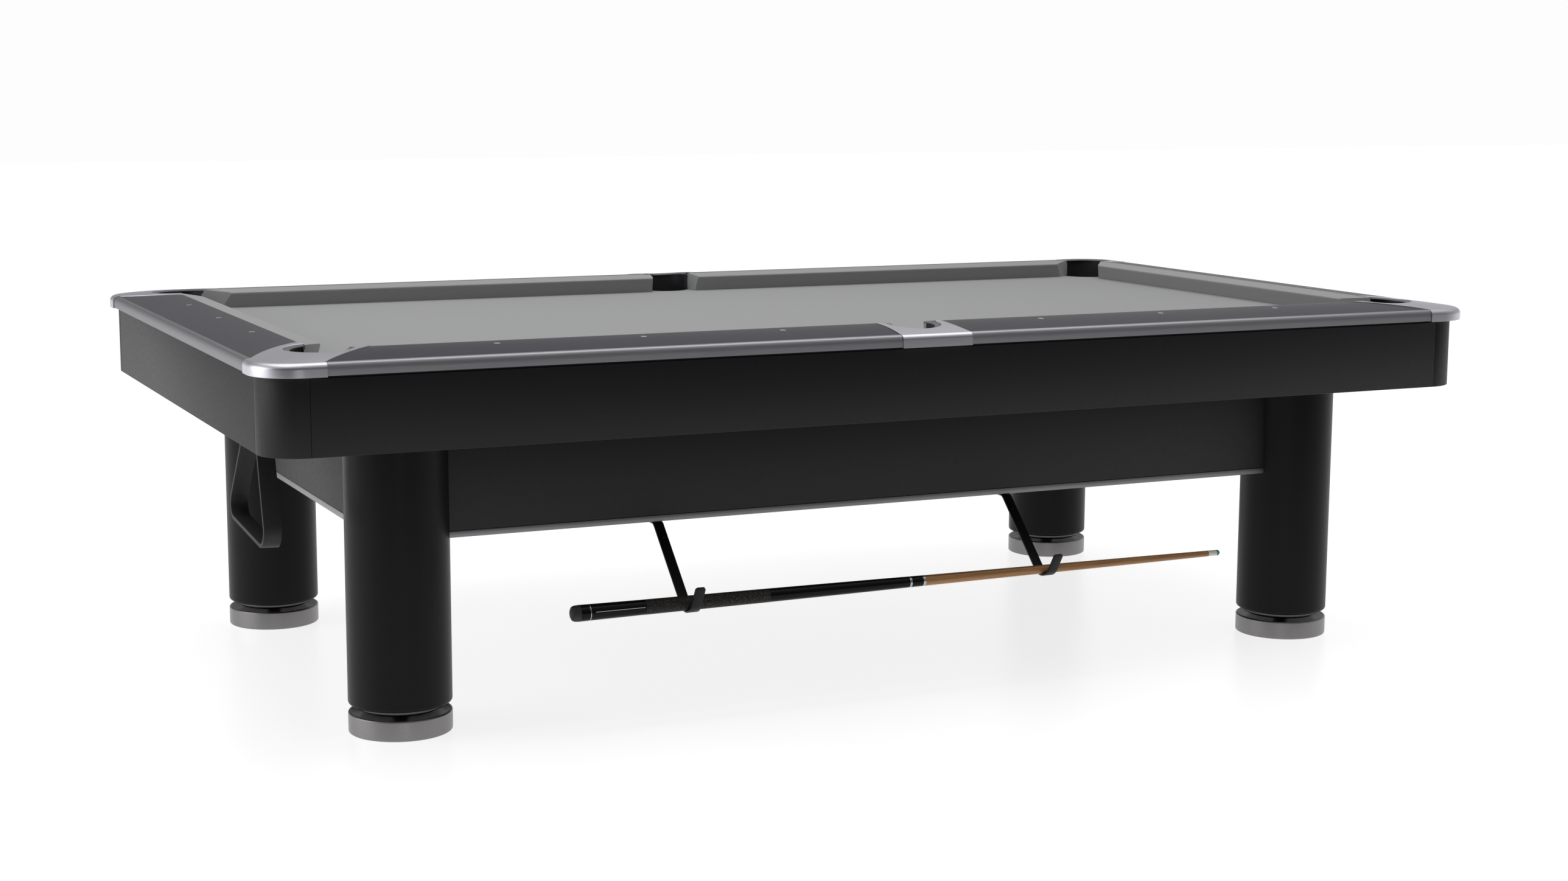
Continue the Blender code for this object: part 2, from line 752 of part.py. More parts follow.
def build_stretchers():
    leg_space = {}
    for name, sign_x, sign_y in CORNERS:
        centre = (sign_x * LEG_X, sign_y * LEG_Y)
        cutter = cylinder("leg_cut_" + name, centre, LEG_RADIUS + GAP, *LEG_CUT, ROUND_SIDES)
        leg_space[sign_x, sign_y] = finish_cutter(cutter)
    for name, sign_y in SIDES:
        low_y, high_y = sorted((sign_y * (STRETCHER_Y - STRETCHER_THICKNESS), sign_y * STRETCHER_Y))
        low, high = (-LEG_X, low_y, STRETCHER_BOTTOM), (LEG_X, high_y, LEG_TOP)
        bar = box("stretcher_" + name, low, high)
        for sign_x in (-1, 1):
            boolean(bar, "DIFFERENCE", leg_space[sign_x, sign_y])
        finish_piece(bar, BLACK_BOARD)
    for name, sign_x in ENDS:
        low_x, high_x = sorted((sign_x * (STRETCHER_X - STRETCHER_THICKNESS), sign_x * STRETCHER_X))
        low, high = (low_x, -LEG_Y, STRETCHER_BOTTOM), (high_x, LEG_Y, LEG_TOP)
        bar = box("stretcher_" + name, low, high)
        for sign_y in (-1, 1):
            boolean(bar, "DIFFERENCE", leg_space[sign_x, sign_y])
        finish_piece(bar, BLACK_BOARD)


# --- Legs and feet -----------------------------------------------------------------------


def leg_profile():
    inner = (LEG_RADIUS - LEG_EDGE, LEG_BOTTOM + LEG_EDGE)
    edge = arc(inner, LEG_EDGE, 0, -90, 4)
    bore = [(BORE_RADIUS, LEG_BOTTOM), (BORE_RADIUS, BORE_TOP), (0, BORE_TOP)]
    return [(0, LEG_TOP), (LEG_RADIUS, LEG_TOP), *edge, *bore]


def foot_ring_profile():
    lip = 0.004
    return [
        (0, SOCKET_FLOOR),
        (BORE_RADIUS, SOCKET_FLOOR),
        (BORE_RADIUS, FOOT_TOP),
        (LEG_RADIUS - lip, FOOT_TOP),
        (LEG_RADIUS - 0.0005, FOOT_TOP - 0.0012),
        (LEG_RADIUS, FOOT_TOP - lip),
        (LEG_RADIUS, 0.003),
        (LEG_RADIUS - 0.003, 0),
        (0, 0),
    ]


def foot_screw_profile():
    edge = 0.002
    return [
        (0, STEM_TOP),
        (STEM_RADIUS - edge, STEM_TOP),
        (STEM_RADIUS, STEM_TOP - edge),
        (STEM_RADIUS, COLLAR_TOP),
        (COLLAR_RADIUS - edge, COLLAR_TOP),
        (COLLAR_RADIUS, COLLAR_TOP - edge),
        (COLLAR_RADIUS, COLLAR_BOTTOM + edge),
        (COLLAR_RADIUS - edge, COLLAR_BOTTOM),
        (STEM_RADIUS, COLLAR_BOTTOM),
        (STEM_RADIUS, STEM_BOTTOM),
        (0, STEM_BOTTOM),
    ]


def bar_hole_cutter(name, place, turn):
    """A radial hole in the collar for the bar that turns it."""
    builder = bmesh.new()
    middle = (COLLAR_BOTTOM + COLLAR_TOP) / 2
    lay = Matrix.Translation((COLLAR_RADIUS, 0, middle)) @ Matrix.Rotation(math.pi / 2, 4, "Y")
    bmesh.ops.create_cone(
        builder,
        cap_ends=True,
        segments=10,
        radius1=BAR_HOLE_RADIUS,
        radius2=BAR_HOLE_RADIUS,
        depth=0.030,
        matrix=Matrix.Rotation(turn, 4, "Z") @ lay,
    )
    cutter = mesh_object(name, builder)
    cutter.matrix_world = place
    return finish_cutter(cutter)


def build_legs_and_feet():
    for name, sign_x, sign_y in CORNERS:
        place = Matrix.Translation((sign_x * LEG_X, sign_y * LEG_Y, 0))
        finish_piece(turned("leg_" + name, leg_profile(), ROUND_SIDES, place), BLACK_SATIN)
        ring = turned("foot_ring_" + name, foot_ring_profile(), ROUND_SIDES, place)
        finish_piece(ring, PEWTER)
        screw = turned("foot_screw_" + name, foot_screw_profile(), ROUND_SIDES, place)
        for i in range(BAR_HOLES):
            turn = math.tau * (i + 0.5) / BAR_HOLES
            boolean(screw, "DIFFERENCE", bar_hole_cutter(f"bar_hole_{name}_{i}", place, turn))
        finish_piece(screw, POLISHED_STEEL)


# --- Cue, hooks, rack --------------------------------------------------------------------


def cue_radius(x):
    """The cue's radius at a place along the table."""
    along = x - CUE_BUTT
    for (start, first), (end, last) in zip(CUE_RADII, CUE_RADII[1:]):
        if along <= end:
            return first + (last - first) * (along - start) / (end - start)
    return CUE_RADII[-1][1]


def build_cue():
    tip = CUE_RADII[-1][0]
    profile = [(0, tip)] + [(radius, along) for along, radius in CUE_RADII[::-1]] + [(0, 0)]
    place = Matrix.Translation((CUE_BUTT, CUE_Y, CUE_Z)) @ Matrix.Rotation(math.pi / 2, 4, "Y")
    finish_piece(turned("cue", profile, CUE_SIDES, place), CUE_WOOD)


def tangent_angles(point, centre, radius):
    """Direction from the point to the centre, and the angle a tangent turns away from it."""
    across, up = centre[0] - point[0], centre[1] - point[1]
    return math.degrees(math.atan2(up, across)), math.degrees(
        math.asin(radius / math.hypot(across, up))
    )


def hook_path(lift):
    """Centre line of the strap in the YZ plane, from its tab down round the cradle to the tip."""
    bottom = CUE_Z + lift - cue_radius(HOOK_PLACES[0][1]) - GAP - HOOK_THICKNESS / 2
    centre = (CUE_Y, bottom + HOOK_CRADLE)
    bend_heading, bend_turn = tangent_angles(HOOK_BEND, centre, HOOK_CRADLE)
    tip_heading, tip_turn = tangent_angles(HOOK_TIP, centre, HOOK_CRADLE)
    start = bend_heading + bend_turn + 90
    end = tip_heading - tip_turn - 90
    cradle = arc(centre, HOOK_CRADLE, start, end, 12)
    level = (HOOK_BEND[0] + HOOK_BEND_REACH, HOOK_BEND[1])
    corner = bowed(level, HOOK_BEND, point_between(HOOK_BEND, cradle[0], HOOK_BEND_REACH), 4)
    return [(HOOK_TAB_END, HOOK_BEND[1]), *corner, *cradle, *tip_points(cradle[-1])]


def point_between(start, end, distance):
    length = math.dist(start, end)
    return tuple(a + (b - a) * distance / length for a, b in zip(start, end))


def tip_points(start):
    """The last stretch to the tip, with closer points where its corners are rounded off."""
    reach = math.dist(start, HOOK_TIP)
    return [
        point_between(start, HOOK_TIP, reach - HOOK_TIP_RADIUS * (1 - math.sin(math.radians(a))))
        for a in (0, 22.5, 45, 67.5, 90)
    ]


def build_hooks():
    for name, x in HOOK_PLACES:
        lift = cue_radius(HOOK_PLACES[0][1]) - cue_radius(x)
        path = hook_path(lift)
        builder = bmesh.new()
        rows = []
        for i, (y, z) in enumerate(path):
            from_tip = len(path) - 1 - i
            turn = math.radians(90 - 22.5 * from_tip) if from_tip < 4 else 0
            half = HOOK_WIDTH / 2 - HOOK_TIP_RADIUS * (1 - math.cos(turn))
            rows.append([builder.verts.new((x + side * half, y, z)) for side in (-1, 1)])
        for (a, b), (c, d) in zip(rows, rows[1:]):
            builder.faces.new((a, b, d, c))
        hook = mesh_object(name, builder)
        thicken = hook.modifiers.new("thickness", "SOLIDIFY")
        thicken.thickness = HOOK_THICKNESS
        thicken.offset = 0
        thicken.use_even_offset = True
        finish_piece(hook, BLACK_STEEL)


def rounded_triangle(side, corner, drop):
    """A triangle with its apex up, about a point that lies this far above its centre."""
    reach = side / math.sqrt(3) - 2 * corner
    points = []
    for heading in (90, 210, 330):
        angle = math.radians(heading)
        centre = (reach * math.cos(angle), reach * math.sin(angle))
        points += arc(centre, corner, heading - 60, heading + 60, 8)
    tilt = Matrix.Rotation(RACK_TILT, 2)
    turned_points = [tilt @ Vector(point) for point in points]
    return [(x, y - drop) for x, y in turned_points]


def peg_above_centre():
    """How far above the rack's centre its top corner rests on the peg."""
    corner = RACK_CORNER - RACK_WALL
    inner_side = RACK_SIDE - 2 * math.sqrt(3) * RACK_WALL
    reach = inner_side / math.sqrt(3) - 2 * corner
    clear = corner - PEG_RADIUS - PEG_CLEARANCE
    aside = reach * math.sin(RACK_TILT)
    return reach * math.cos(RACK_TILT) + math.sqrt(clear**2 - aside**2)


def upright(x, y, z):
    """A plate's own X along the table's Y and its own Y up, leaning with the rack."""
    turn = Matrix(((0, 0, 1, 0), (1, 0, 0, 0), (0, 1, 0, 0), (0, 0, 0, 1)))
    return Matrix.Translation((x, y, z)) @ Matrix.Rotation(RACK_LEAN, 4, "Y") @ turn


def build_rack():
    drop = peg_above_centre()
    peg_z = RACK_CENTRE_Z + drop
    inner_side = RACK_SIDE - 2 * math.sqrt(3) * RACK_WALL
    outlines = [
        rounded_triangle(RACK_SIDE, RACK_CORNER, drop),
        rounded_triangle(inner_side, RACK_CORNER - RACK_WALL, drop),
    ]
    place = upright(RACK_PEG_X, RACK_CENTRE_Y, peg_z)
    finish_piece(plate("ball_rack", outlines, RACK_DEPTH, place), BLACK_PLASTIC, smooth=True)
    flange, end, plate_thickness = 0.016, 0.007, 0.003
    profile = [
        (0, PEG_LENGTH),
        (end, PEG_LENGTH),
        (end, PEG_LENGTH - plate_thickness),
        (PEG_RADIUS, PEG_LENGTH - plate_thickness),
        (PEG_RADIUS, plate_thickness),
        (flange, plate_thickness),
        (flange, 0),
        (0, 0),
    ]
    wall = -(SKIRT_X - SKIRT_THICKNESS) + GAP
    lay = Matrix.Translation((wall, RACK_CENTRE_Y, peg_z)) @ Matrix.Rotation(math.pi / 2, 4, "Y")
    finish_piece(turned("rack_hanger", profile, 20, lay), POLISHED_STEEL)


# --- Build -------------------------------------------------------------------------------

clear_scene()
PARTS = new_collection("pool_table")
CUTTERS = new_collection("cutters", hidden=True)

CLOTH = material("cloth", (0.34, 0.34, 0.34), 0.95)
LAMINATE = material("black_laminate", (0.035, 0.035, 0.04), 0.35)
CASTING_METAL = material("satin_casting", (0.42, 0.42, 0.44), 0.38, 1.0)
TRIM_METAL = material("brushed_trim", (0.36, 0.36, 0.38), 0.34, 1.0)
BLACK_BOARD = material("matte_black_board", (0.018, 0.018, 0.02), 0.55)
BLACK_SATIN = material("black_satin", (0.014, 0.014, 0.016), 0.35)
LINER_RUBBER = material("liner_rubber", (0.016, 0.016, 0.018), 0.6)
SLATE_STONE = material("slate_stone", (0.12, 0.13, 0.14), 0.8)
PEWTER = material("pewter", (0.17, 0.17, 0.18), 0.42, 1.0)
POLISHED_STEEL = material("polished_steel", (0.6, 0.6, 0.62), 0.2, 1.0)
BLACK_STEEL = material("black_steel", (0.02, 0.02, 0.022), 0.4)
BLACK_PLASTIC = material("black_plastic", (0.02, 0.02, 0.022), 0.45)
CUE_WOOD = material("cue_wood", (0.55, 0.38, 0.2), 0.3)

RAIL_CROWN = crown("rail_crown", 0, 0)
CASTING_CROWN = crown("casting_crown", CASTING_PROUD, CASTING_RISE)
TRIM_CLEARANCE = crown("trim_clearance", GAP, GAP)
BED_CUTTERS, CASTING_HOLES = pocket_cutters()

build_bed(BED_CUTTERS)
build_rails(RAIL_CROWN)
build_cushions()
build_trims(RAIL_CROWN)
build_corner_castings(CASTING_CROWN, CASTING_HOLES)
build_side_castings(CASTING_CROWN, TRIM_CLEARANCE, CASTING_HOLES)
build_liners(CASTING_CROWN)
build_skirts()
build_corner_panels()
build_stretchers()
build_legs_and_feet()
build_cue()
build_hooks()
build_rack()
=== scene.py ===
"""Looks of the pool table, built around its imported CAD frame."""

import json
import math

import bmesh
import bpy
from mathutils import Matrix, Vector


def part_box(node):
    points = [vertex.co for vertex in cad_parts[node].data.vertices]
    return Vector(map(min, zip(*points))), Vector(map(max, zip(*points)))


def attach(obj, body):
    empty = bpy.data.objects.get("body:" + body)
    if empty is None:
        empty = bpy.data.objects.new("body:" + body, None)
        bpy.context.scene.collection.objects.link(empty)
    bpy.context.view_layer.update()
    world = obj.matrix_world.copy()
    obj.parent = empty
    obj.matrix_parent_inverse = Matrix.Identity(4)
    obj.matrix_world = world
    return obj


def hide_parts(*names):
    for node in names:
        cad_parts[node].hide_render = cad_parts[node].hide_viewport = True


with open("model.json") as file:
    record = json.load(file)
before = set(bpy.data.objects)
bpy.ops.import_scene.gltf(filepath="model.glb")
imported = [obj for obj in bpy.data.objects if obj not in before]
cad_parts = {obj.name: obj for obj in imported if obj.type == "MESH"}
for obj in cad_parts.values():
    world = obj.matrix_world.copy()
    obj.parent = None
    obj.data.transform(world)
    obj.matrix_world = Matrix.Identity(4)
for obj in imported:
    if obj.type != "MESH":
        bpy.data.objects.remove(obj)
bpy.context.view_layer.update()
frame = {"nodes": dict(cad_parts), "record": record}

# --- Sizes, all in metres ---

GAP = 0.0003
FIELD_X = 1.27
FIELD_Y = 0.635
CLOTH_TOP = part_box("bed_cloth")[1].z
# X + Y along the bed's cut-off corners
BED_CHAMFER = 1.975
NOSE_HEIGHT = 0.815
NOSE_EASE = 0.004
CUSHION_END_INSET = 0.002

# Bands of the rail, as distances outside the cushions' nose
CUSHION_DEPTH = 0.050
LAMINATE_DEPTH = 0.175
TRIM_DEPTH = 0.1905
RECESS_DEPTH = 0.168
RECESS_CORNER = 0.005
RAIL_TOP = 0.823
RAIL_FALL = 0.012
RAIL_FALL_POWER = 1.6
RAIL_BOTTOM = 0.7793
TRIM_BOTTOM = 0.7852
SHOULDER_TOP = 0.8105
# Shoulders, as (reach inwards, drop)
TRIM_SHOULDER = (0.008, 0.016)
CORNER_SHOULDER = (0.013, 0.013)
SIDE_SHOULDER = (0.012, 0.012)
OUTER_CORNER_RADIUS = 0.095
INNER_CORNER_RADIUS = 0.050
CASTING_PROUD = 0.002
CASTING_RISE = 0.0010
CASTING_BOTTOM = 0.7832
FACE_EDGE = 0.0003
HORN_BOTTOM = 0.8133
HORN_SLACK = 0.0006
HORN_ROOM = 0.015
RAIL_JOINT = 0.0008

# Where the room for the cushions' ends stops under the castings
UNDER_LONG_HORN_X = 1.245
UNDER_END_HORN = (1.235, 0.610)

# Sights
SIGHT_ROW_X = 1.355
SIGHT_ROW_Y = 0.720
SIGHT_RADIUS = 0.0065
SIGHT_RISE = 0.00015
SIGHT_DEPTH = 0.002

# How far cutters and blanks reach, all clear of what they aren't meant to meet
CLEAR_TOP = 0.86
CUT_TOP = 0.87
BELOW_RAILS = 0.75
CLEAR_BOTTOM = 0.60
BEYOND_X = 1.55
BEYOND_Y = 0.90
INSIDE_X = 1.15
INSIDE_Y = 0.50
INSIDE_NOSE_Y = 0.60
BESIDE_SIDE_POCKET = 0.2

# Pockets
CORNER_POCKET = (1.3035, 0.6685)
CORNER_RADIUS = 0.070
CORNER_MOUTH = 0.084
CORNER_FACING = math.radians(38)
SIDE_POCKET_Y = 0.712
SIDE_RADIUS = 0.060
SIDE_MOUTH = 0.0655
SIDE_FACING = math.radians(14)
SIDE_THROAT = 0.054
SIDE_MOUTH_BACK = 0.686
# The ledge on which a side pocket's mouth opens out, stopping short of its horns' tips
FLARE_SPREAD = 0.0013
FLARE_DEPTH = 0.005
FLARE_TIP_GAP = 0.0008
LINER_GAP = 0.0009
LINER_WALL = 0.0065
LINER_BOTTOM = 0.655
LINER_MOUTH = 0.7745
LINER_FLOOR = 0.004
LINER_FLOOR_ROUNDING = 0.012
LIP_WIDTH = 0.012
LIP_DEPTH = 0.005
LIP_ROUNDING = 0.0012
LIP_SUNK = 0.0008
LIP_FALL = 0.0020
RIM_ROUNDING = 0.0013
POCKET_SIDES = 96

# Cabinet, legs and feet
BOARD_BEVEL = 0.0012
STRETCHER_BEVEL = 0.0008
STRIP_TOP = 0.4203
LEG_X = 1.1204
LEG_Y = 0.557
LEG_RADIUS = 0.1083
LEG_BEVEL = 0.001
LEG_ROUNDING = 0.007
LEG_BORE = 0.0165
LEG_BORE_TOP = 0.170
FOOT_TOP = 0.043
FOOT_BORE = 0.0168
FOOT_BORE_BOTTOM = 0.028
# The dish in a foot's top, as (radius, depth below the lip)
FOOT_DISH = ((FOOT_BORE, 0.007), (0.060, 0.006), (0.092, 0.0042))
# The lip, as distances in from the wall: where it rises and its crest
FOOT_LIP_START = 0.0062
FOOT_LIP_CREST = 0.0048
FOOT_LIP_RADIUS = 0.0012
FOOT_SHOULDER = 0.0034
FOOT_TOE = 0.0032
FOOT_WALL_BOTTOM = 0.0042
STEM_RADIUS = 0.016
STEM_BEVEL = 0.002
STEM_BOTTOM = 0.0285
STEM_TOP = 0.160
COLLAR_RADIUS = 0.0905
COLLAR_BOTTOM = 0.0465
COLLAR_TOP = 0.0585
COLLAR_ROUNDING = 0.0015
COLLAR_FLARE = (0.0800, 0.0030)
COLLAR_WALL_FOOT = 0.0050
ROUND_SIDES = 128

# Cue
CUE_BUTT = -0.822
CUE_Y = -0.781
CUE_Z = 0.264
# A thin pale line along the front of the butt sleeve
PALE_LINE_ENDS = (-0.7737, -0.664)
PALE_LINE_WIDTH = 0.001
PALE_LINE_PROUD = 0.00012
PALE_LINE_SUNK = -0.0003
PALE_LINE_TURN = math.radians(170)

# Hooks and rack, with places in a hook's path given as (Y, Z)
HOOK_PLACES = (("cue_hook_left", -0.5576), ("cue_hook_right", 0.3047))
HOOK_WIDTH = 0.0227
HOOK_THICKNESS = 0.004
HOOK_CRADLE = 0.040
HOOK_TAB_END = -0.576
HOOK_BEND = (-0.603, 0.4042)
HOOK_BEND_REACH = 0.007
HOOK_BEND_STEPS = 8
HOOK_TIP = (-0.838, 0.307)
HOOK_TIP_RADIUS = 0.006
HOOK_BEVEL = 0.0007
SCREW_DROP = 0.034
SCREW_SUNK = 0.0002
SCREW_RADIUS = 0.0036
SCREW_HEIGHT = 0.0018
RACK_BEVEL = 0.0022
HANGER_BEVEL = 0.0006

# Camera: a long lens from the front left, a little above the rails
CAMERA_PLACE = (-2.5121, -5.4127, 1.3738)
CAMERA_YAW = 0.4381
CAMERA_PITCH = 0.1512
CAMERA_ROLL = 0.0042
CAMERA_LENS = 56.32
CAMERA_SENSOR = 36
CAMERA_REACH = 100

# Room
FLOOR_LOW = (-30, -3)
FLOOR_HIGH = (30, 30)
FLOOR_THICKNESS = 0.001
BACKDROP = (0.982, 0.982, 0.982, 1)
# Lamps: name, place, what it points at, width and height, watts
LAMPS = (
    ("overhead", (0, -0.1, 3.2), (0, 0, 0), (5.0, 2.7), 55),
    ("left_panel", (-4.2, 0.2, 1.5), (-1.4, 0, 0.6), (3.0, 2.2), 45),
    ("front_panel", (-1.6, -4.6, 0.45), (-0.6, -0.8, 0.35), (1.2, 0.7), 4),
)

CORNERS = (
    ("front_left", -1, -1),
    ("front_right", 1, -1),
    ("back_left", -1, 1),
    ("back_right", 1, 1),
)
SIDES = (("front", -1), ("back", 1))
ENDS = (("left", -1), ("right", 1))


# --- Mesh helpers ---


def linked(name, data):
    """A new object in the scene."""
    made = bpy.data.objects.new(name, data)
    bpy.context.scene.collection.objects.link(made)
    return made


def mesh_object(name, builder):
    """The builder's mesh as an object, with all faces turned outwards."""
    mesh = bpy.data.meshes.new(name)
    bmesh.ops.recalc_face_normals(builder, faces=builder.faces)
    builder.to_mesh(mesh)
    builder.free()
    return linked(name, mesh)


def plate(name, outlines, thickness, place):
    """A flat plate from closed outlines in its own XY plane, centred on that plane."""
    curve = bpy.data.curves.new(name, "CURVE")
    curve.dimensions = "2D"
    curve.fill_mode = "BOTH"
    curve.extrude = thickness / 2
    for outline in outlines:
        spline = curve.splines.new("POLY")
        spline.points.add(len(outline) - 1)
        spline.use_cyclic_u = True
        for point, (x, y) in zip(spline.points, outline):
            point.co = (x, y, 0, 1)
    flat = linked(name + "_curve", curve)
    bpy.context.view_layer.update()
    graph = bpy.context.evaluated_depsgraph_get()
    mesh = bpy.data.meshes.new_from_object(flat.evaluated_get(graph))
    bpy.data.objects.remove(flat, do_unlink=True)
    builder = bmesh.new()
    builder.from_mesh(mesh)
    bpy.data.meshes.remove(mesh)
    bmesh.ops.remove_doubles(builder, verts=builder.verts, dist=1e-6)
    builder.transform(place)
    return mesh_object(name, builder)


def slab(name, outlines, bottom, top):
    """A level plate between two heights."""
    return plate(name, outlines, top - bottom, Matrix.Translation((0, 0, (bottom + top) / 2)))


def turned(name, profile, place, sides=ROUND_SIDES):
    """A closed solid from (radius, height) points, first and last on the axis, turned about Z."""
    builder = bmesh.new()
    ends = [builder.verts.new((0, 0, profile[k][1])) for k in (0, -1)]
    loops = [circle((0, 0), radius, height, sides) for radius, height in profile[1:-1]]
    rings = [[builder.verts.new(point) for point in loop] for loop in loops]
    for i in range(sides):
        j = (i + 1) % sides
        builder.faces.new((ends[0], rings[0][i], rings[0][j]))
        builder.faces.new((ends[1], rings[-1][j], rings[-1][i]))
        for first, second in zip(rings, rings[1:]):
            builder.faces.new((first[i], second[i], second[j], first[j]))
    builder.transform(place)
    return mesh_object(name, builder)


def lofted(name, loops, ring=False):
    """A solid through loops of equally many points, capped at both ends or led back to its start."""
    builder = bmesh.new()
    rows = [[builder.verts.new(point) for point in loop] for loop in loops]
    count = len(rows[0])
    for lower, upper in zip(rows, rows[1:] + rows[:1] if ring else rows[1:]):
        for i in range(count):
            j = (i + 1) % count
            builder.faces.new((lower[i], lower[j], upper[j], upper[i]))
    if not ring:
        builder.faces.new(rows[0][::-1])
        builder.faces.new(rows[-1])
    return mesh_object(name, builder)


# Pieces that only shape others, deleted at the end
SHAPERS = []


def boolean(obj, operation, other):
    modifier = obj.modifiers.new(operation.lower(), "BOOLEAN")
    modifier.operation = operation
    modifier.object = other
    modifier.solver = "EXACT"
    if other not in SHAPERS:
        SHAPERS.append(other)


def cut(obj, other):
    boolean(obj, "DIFFERENCE", other)


def keep(obj, other):
    """Leaves what lies inside the other piece."""
    boolean(obj, "INTERSECT", other)


def bevelled(obj, width, segments=2, angle=30):
    modifier = obj.modifiers.new("edges", "BEVEL")
    modifier.width = width
    modifier.segments = segments
    modifier.limit_method = "ANGLE"
    modifier.angle_limit = math.radians(angle)
    return obj


def node_builder(node):
    """The node's own mesh with its flat faces whole again, ready for softer edges."""
    builder = bmesh.new()
    builder.from_mesh(frame["nodes"][node].data)
    bmesh.ops.remove_doubles(builder, verts=builder.verts, dist=1e-5)
    flat = math.radians(0.5)
    bmesh.ops.dissolve_limit(builder, angle_limit=flat, verts=builder.verts, edges=builder.edges)
    return builder


def copy_of(node):
    return mesh_object(node + "_finish", node_builder(node))


def finished(obj, look, nodes=(), body="root", slot=None, sharp=35):
    """Applies the modifiers, shades and paints the piece, ties it to its body and hides the nodes it stands
    for.

    When the piece stands for nodes, a slot is worked out from its look's name unless another is given, but
    nothing uses it.
    """
    graph = bpy.context.evaluated_depsgraph_get()
    mesh = bpy.data.meshes.new_from_object(obj.evaluated_get(graph))
    obj.modifiers.clear()
    obj.data = mesh
    mesh.shade_smooth()
    mesh.set_sharp_from_angle(angle=math.radians(sharp))
    mesh.materials.clear()
    mesh.materials.append(LOOKS[look])
    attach(obj, body)
    if nodes:
        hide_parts(*nodes)
        slot = slot or look


def arc(centre, radius, start, end, steps):
    """Points on an arc, with the angles in degrees."""
    turns = [math.radians(start + (end - start) * i / steps) for i in range(steps + 1)]
    return [(centre[0] + radius * math.cos(a), centre[1] + radius * math.sin(a)) for a in turns]


def circle(centre, radius, height, sides=POCKET_SIDES):
    angles = [math.tau * i / sides for i in range(sides)]
    return [(centre[0] + radius * math.cos(a), centre[1] + radius * math.sin(a), height) for a in angles]


def bowed(start, control, end, steps):
    """Points on a quadratic curve that leaves start and reaches end heading past control."""
    points = []
    for i in range(steps + 1):
        t = i / steps
        weights = ((1 - t) ** 2, 2 * t * (1 - t), t * t)
        points.append(tuple(sum(w * p[k] for w, p in zip(weights, (start, control, end))) for k in (0, 1)))
    return points


def point_between(start, end, distance):
    """The point this far from start on the way to end."""
    length = math.dist(start, end)
    return tuple(a + (b - a) * distance / length for a, b in zip(start, end))


def eased(before, corner, after, reach):
    """The corner of an outline rounded off over this length each way."""
    return bowed(point_between(corner, before, reach), corner, point_between(corner, after, reach), 6)


def rectangle(low_x, low_y, high_x, high_y):
    return [(low_x, low_y), (high_x, low_y), (high_x, high_y), (low_x, high_y)]


def moved(points, dx, dy):
    return [(x + dx, y + dy) for x, y in points]


def mirrored(points, sign_x, sign_y):
    return [(sign_x * x, sign_y * y) for x, y in points]


def swapped(points):
    """The same shape on the other side of the corner's diagonal."""
    return [(FIELD_X + y - FIELD_Y, FIELD_Y + x - FIELD_X) for x, y in points]


# --- The rail's crowned top ---


def rail_height(depth):
    """Height of the rail top at this distance outside the nose: level, then falling away."""
    fall = max(depth - CUSHION_DEPTH, 0) / (LAMINATE_DEPTH - CUSHION_DEPTH)
    return RAIL_TOP - RAIL_FALL * fall**RAIL_FALL_POWER


def crown_levels(shoulder):
    """(distance outside the nose, height) over a rounded shoulder and up to the level top."""
    reach, drop = shoulder
    levels = []
    for across, up in arc((0, 0), 1, 0, 86, 12):
        levels.append((TRIM_DEPTH - reach * (1 - across), SHOULDER_TOP - drop * (1 - up)))
    steps = 16
    for i in range(steps + 1):
        depth = LAMINATE_DEPTH + (CUSHION_DEPTH - LAMINATE_DEPTH) * i / steps
        levels.append((depth, rail_height(depth)))
    return levels


def face_levels(bottom, edge):
    """A plain upright face that is rounded under by this much at the bottom."""
    return [(TRIM_DEPTH - edge, CLEAR_BOTTOM), (TRIM_DEPTH - edge, bottom), (TRIM_DEPTH, bottom + edge)]


def corner_radius(depth):
    """Radius of the table's corners at this distance outside the nose."""
    share = (depth - CUSHION_DEPTH) / (TRIM_DEPTH - CUSHION_DEPTH)
    return INNER_CORNER_RADIUS + (OUTER_CORNER_RADIUS - INNER_CORNER_RADIUS) * share


def rounded_rectangle(half_x, half_y, radius, steps=28):
    points = []
    for sign_x, sign_y, start in ((1, 1, 0), (-1, 1, 90), (-1, -1, 180), (1, -1, 270)):
        centre = (sign_x * (half_x - radius), sign_y * (half_y - radius))
        points += arc(centre, radius, start, start + 90, steps)
    return points


def crown(name, levels, proud, rise):
    """The whole table top as one crowned block, from which rails, trims and castings are cut."""
    loops = []
    for depth, height in levels:
        reach = depth + proud
        outline = rounded_rectangle(FIELD_X + reach, FIELD_Y + reach, corner_radius(depth))
        loops.append([(x, y, height + rise) for x, y in outline])
    return lofted(name, loops)


def casting_top(x, y):
    """Height of a casting's top at this place in plan, found by halving the range of depths."""
    low, high = CUSHION_DEPTH, TRIM_DEPTH
    for _ in range(20):
        depth = (low + high) / 2
        radius = corner_radius(depth)
        over_x = abs(x) - (FIELD_X + depth + CASTING_PROUD - radius)
        over_y = abs(y) - (FIELD_Y + depth + CASTING_PROUD - radius)
        outside = math.hypot(max(over_x, 0), max(over_y, 0)) > radius
        low, high = (depth, high) if outside else (low, depth)
    return rail_height(low) + CASTING_RISE


# --- Outlines in plan, for the corner at +X +Y ---

LONG_EDGE = bowed((1.2055, 0.685), (1.312, 0.790), (1.325, 0.8097), 24)
END_EDGE = bowed((1.320, 0.565), (1.402, 0.620), (1.4447, 0.699), 24)
LONG_HORN = (1.2030, 0.6822)
END_HORN = (1.3168, 0.561)
TRIM_JOINT_X = 1.3275
TRIM_JOINT_Y = 0.699
SIDE_EDGE = bowed((0.079, 0.685), (0.079, 0.765), (0.084, 0.8097), 16)
SIDE_HORN = (0.0775, 0.6818)


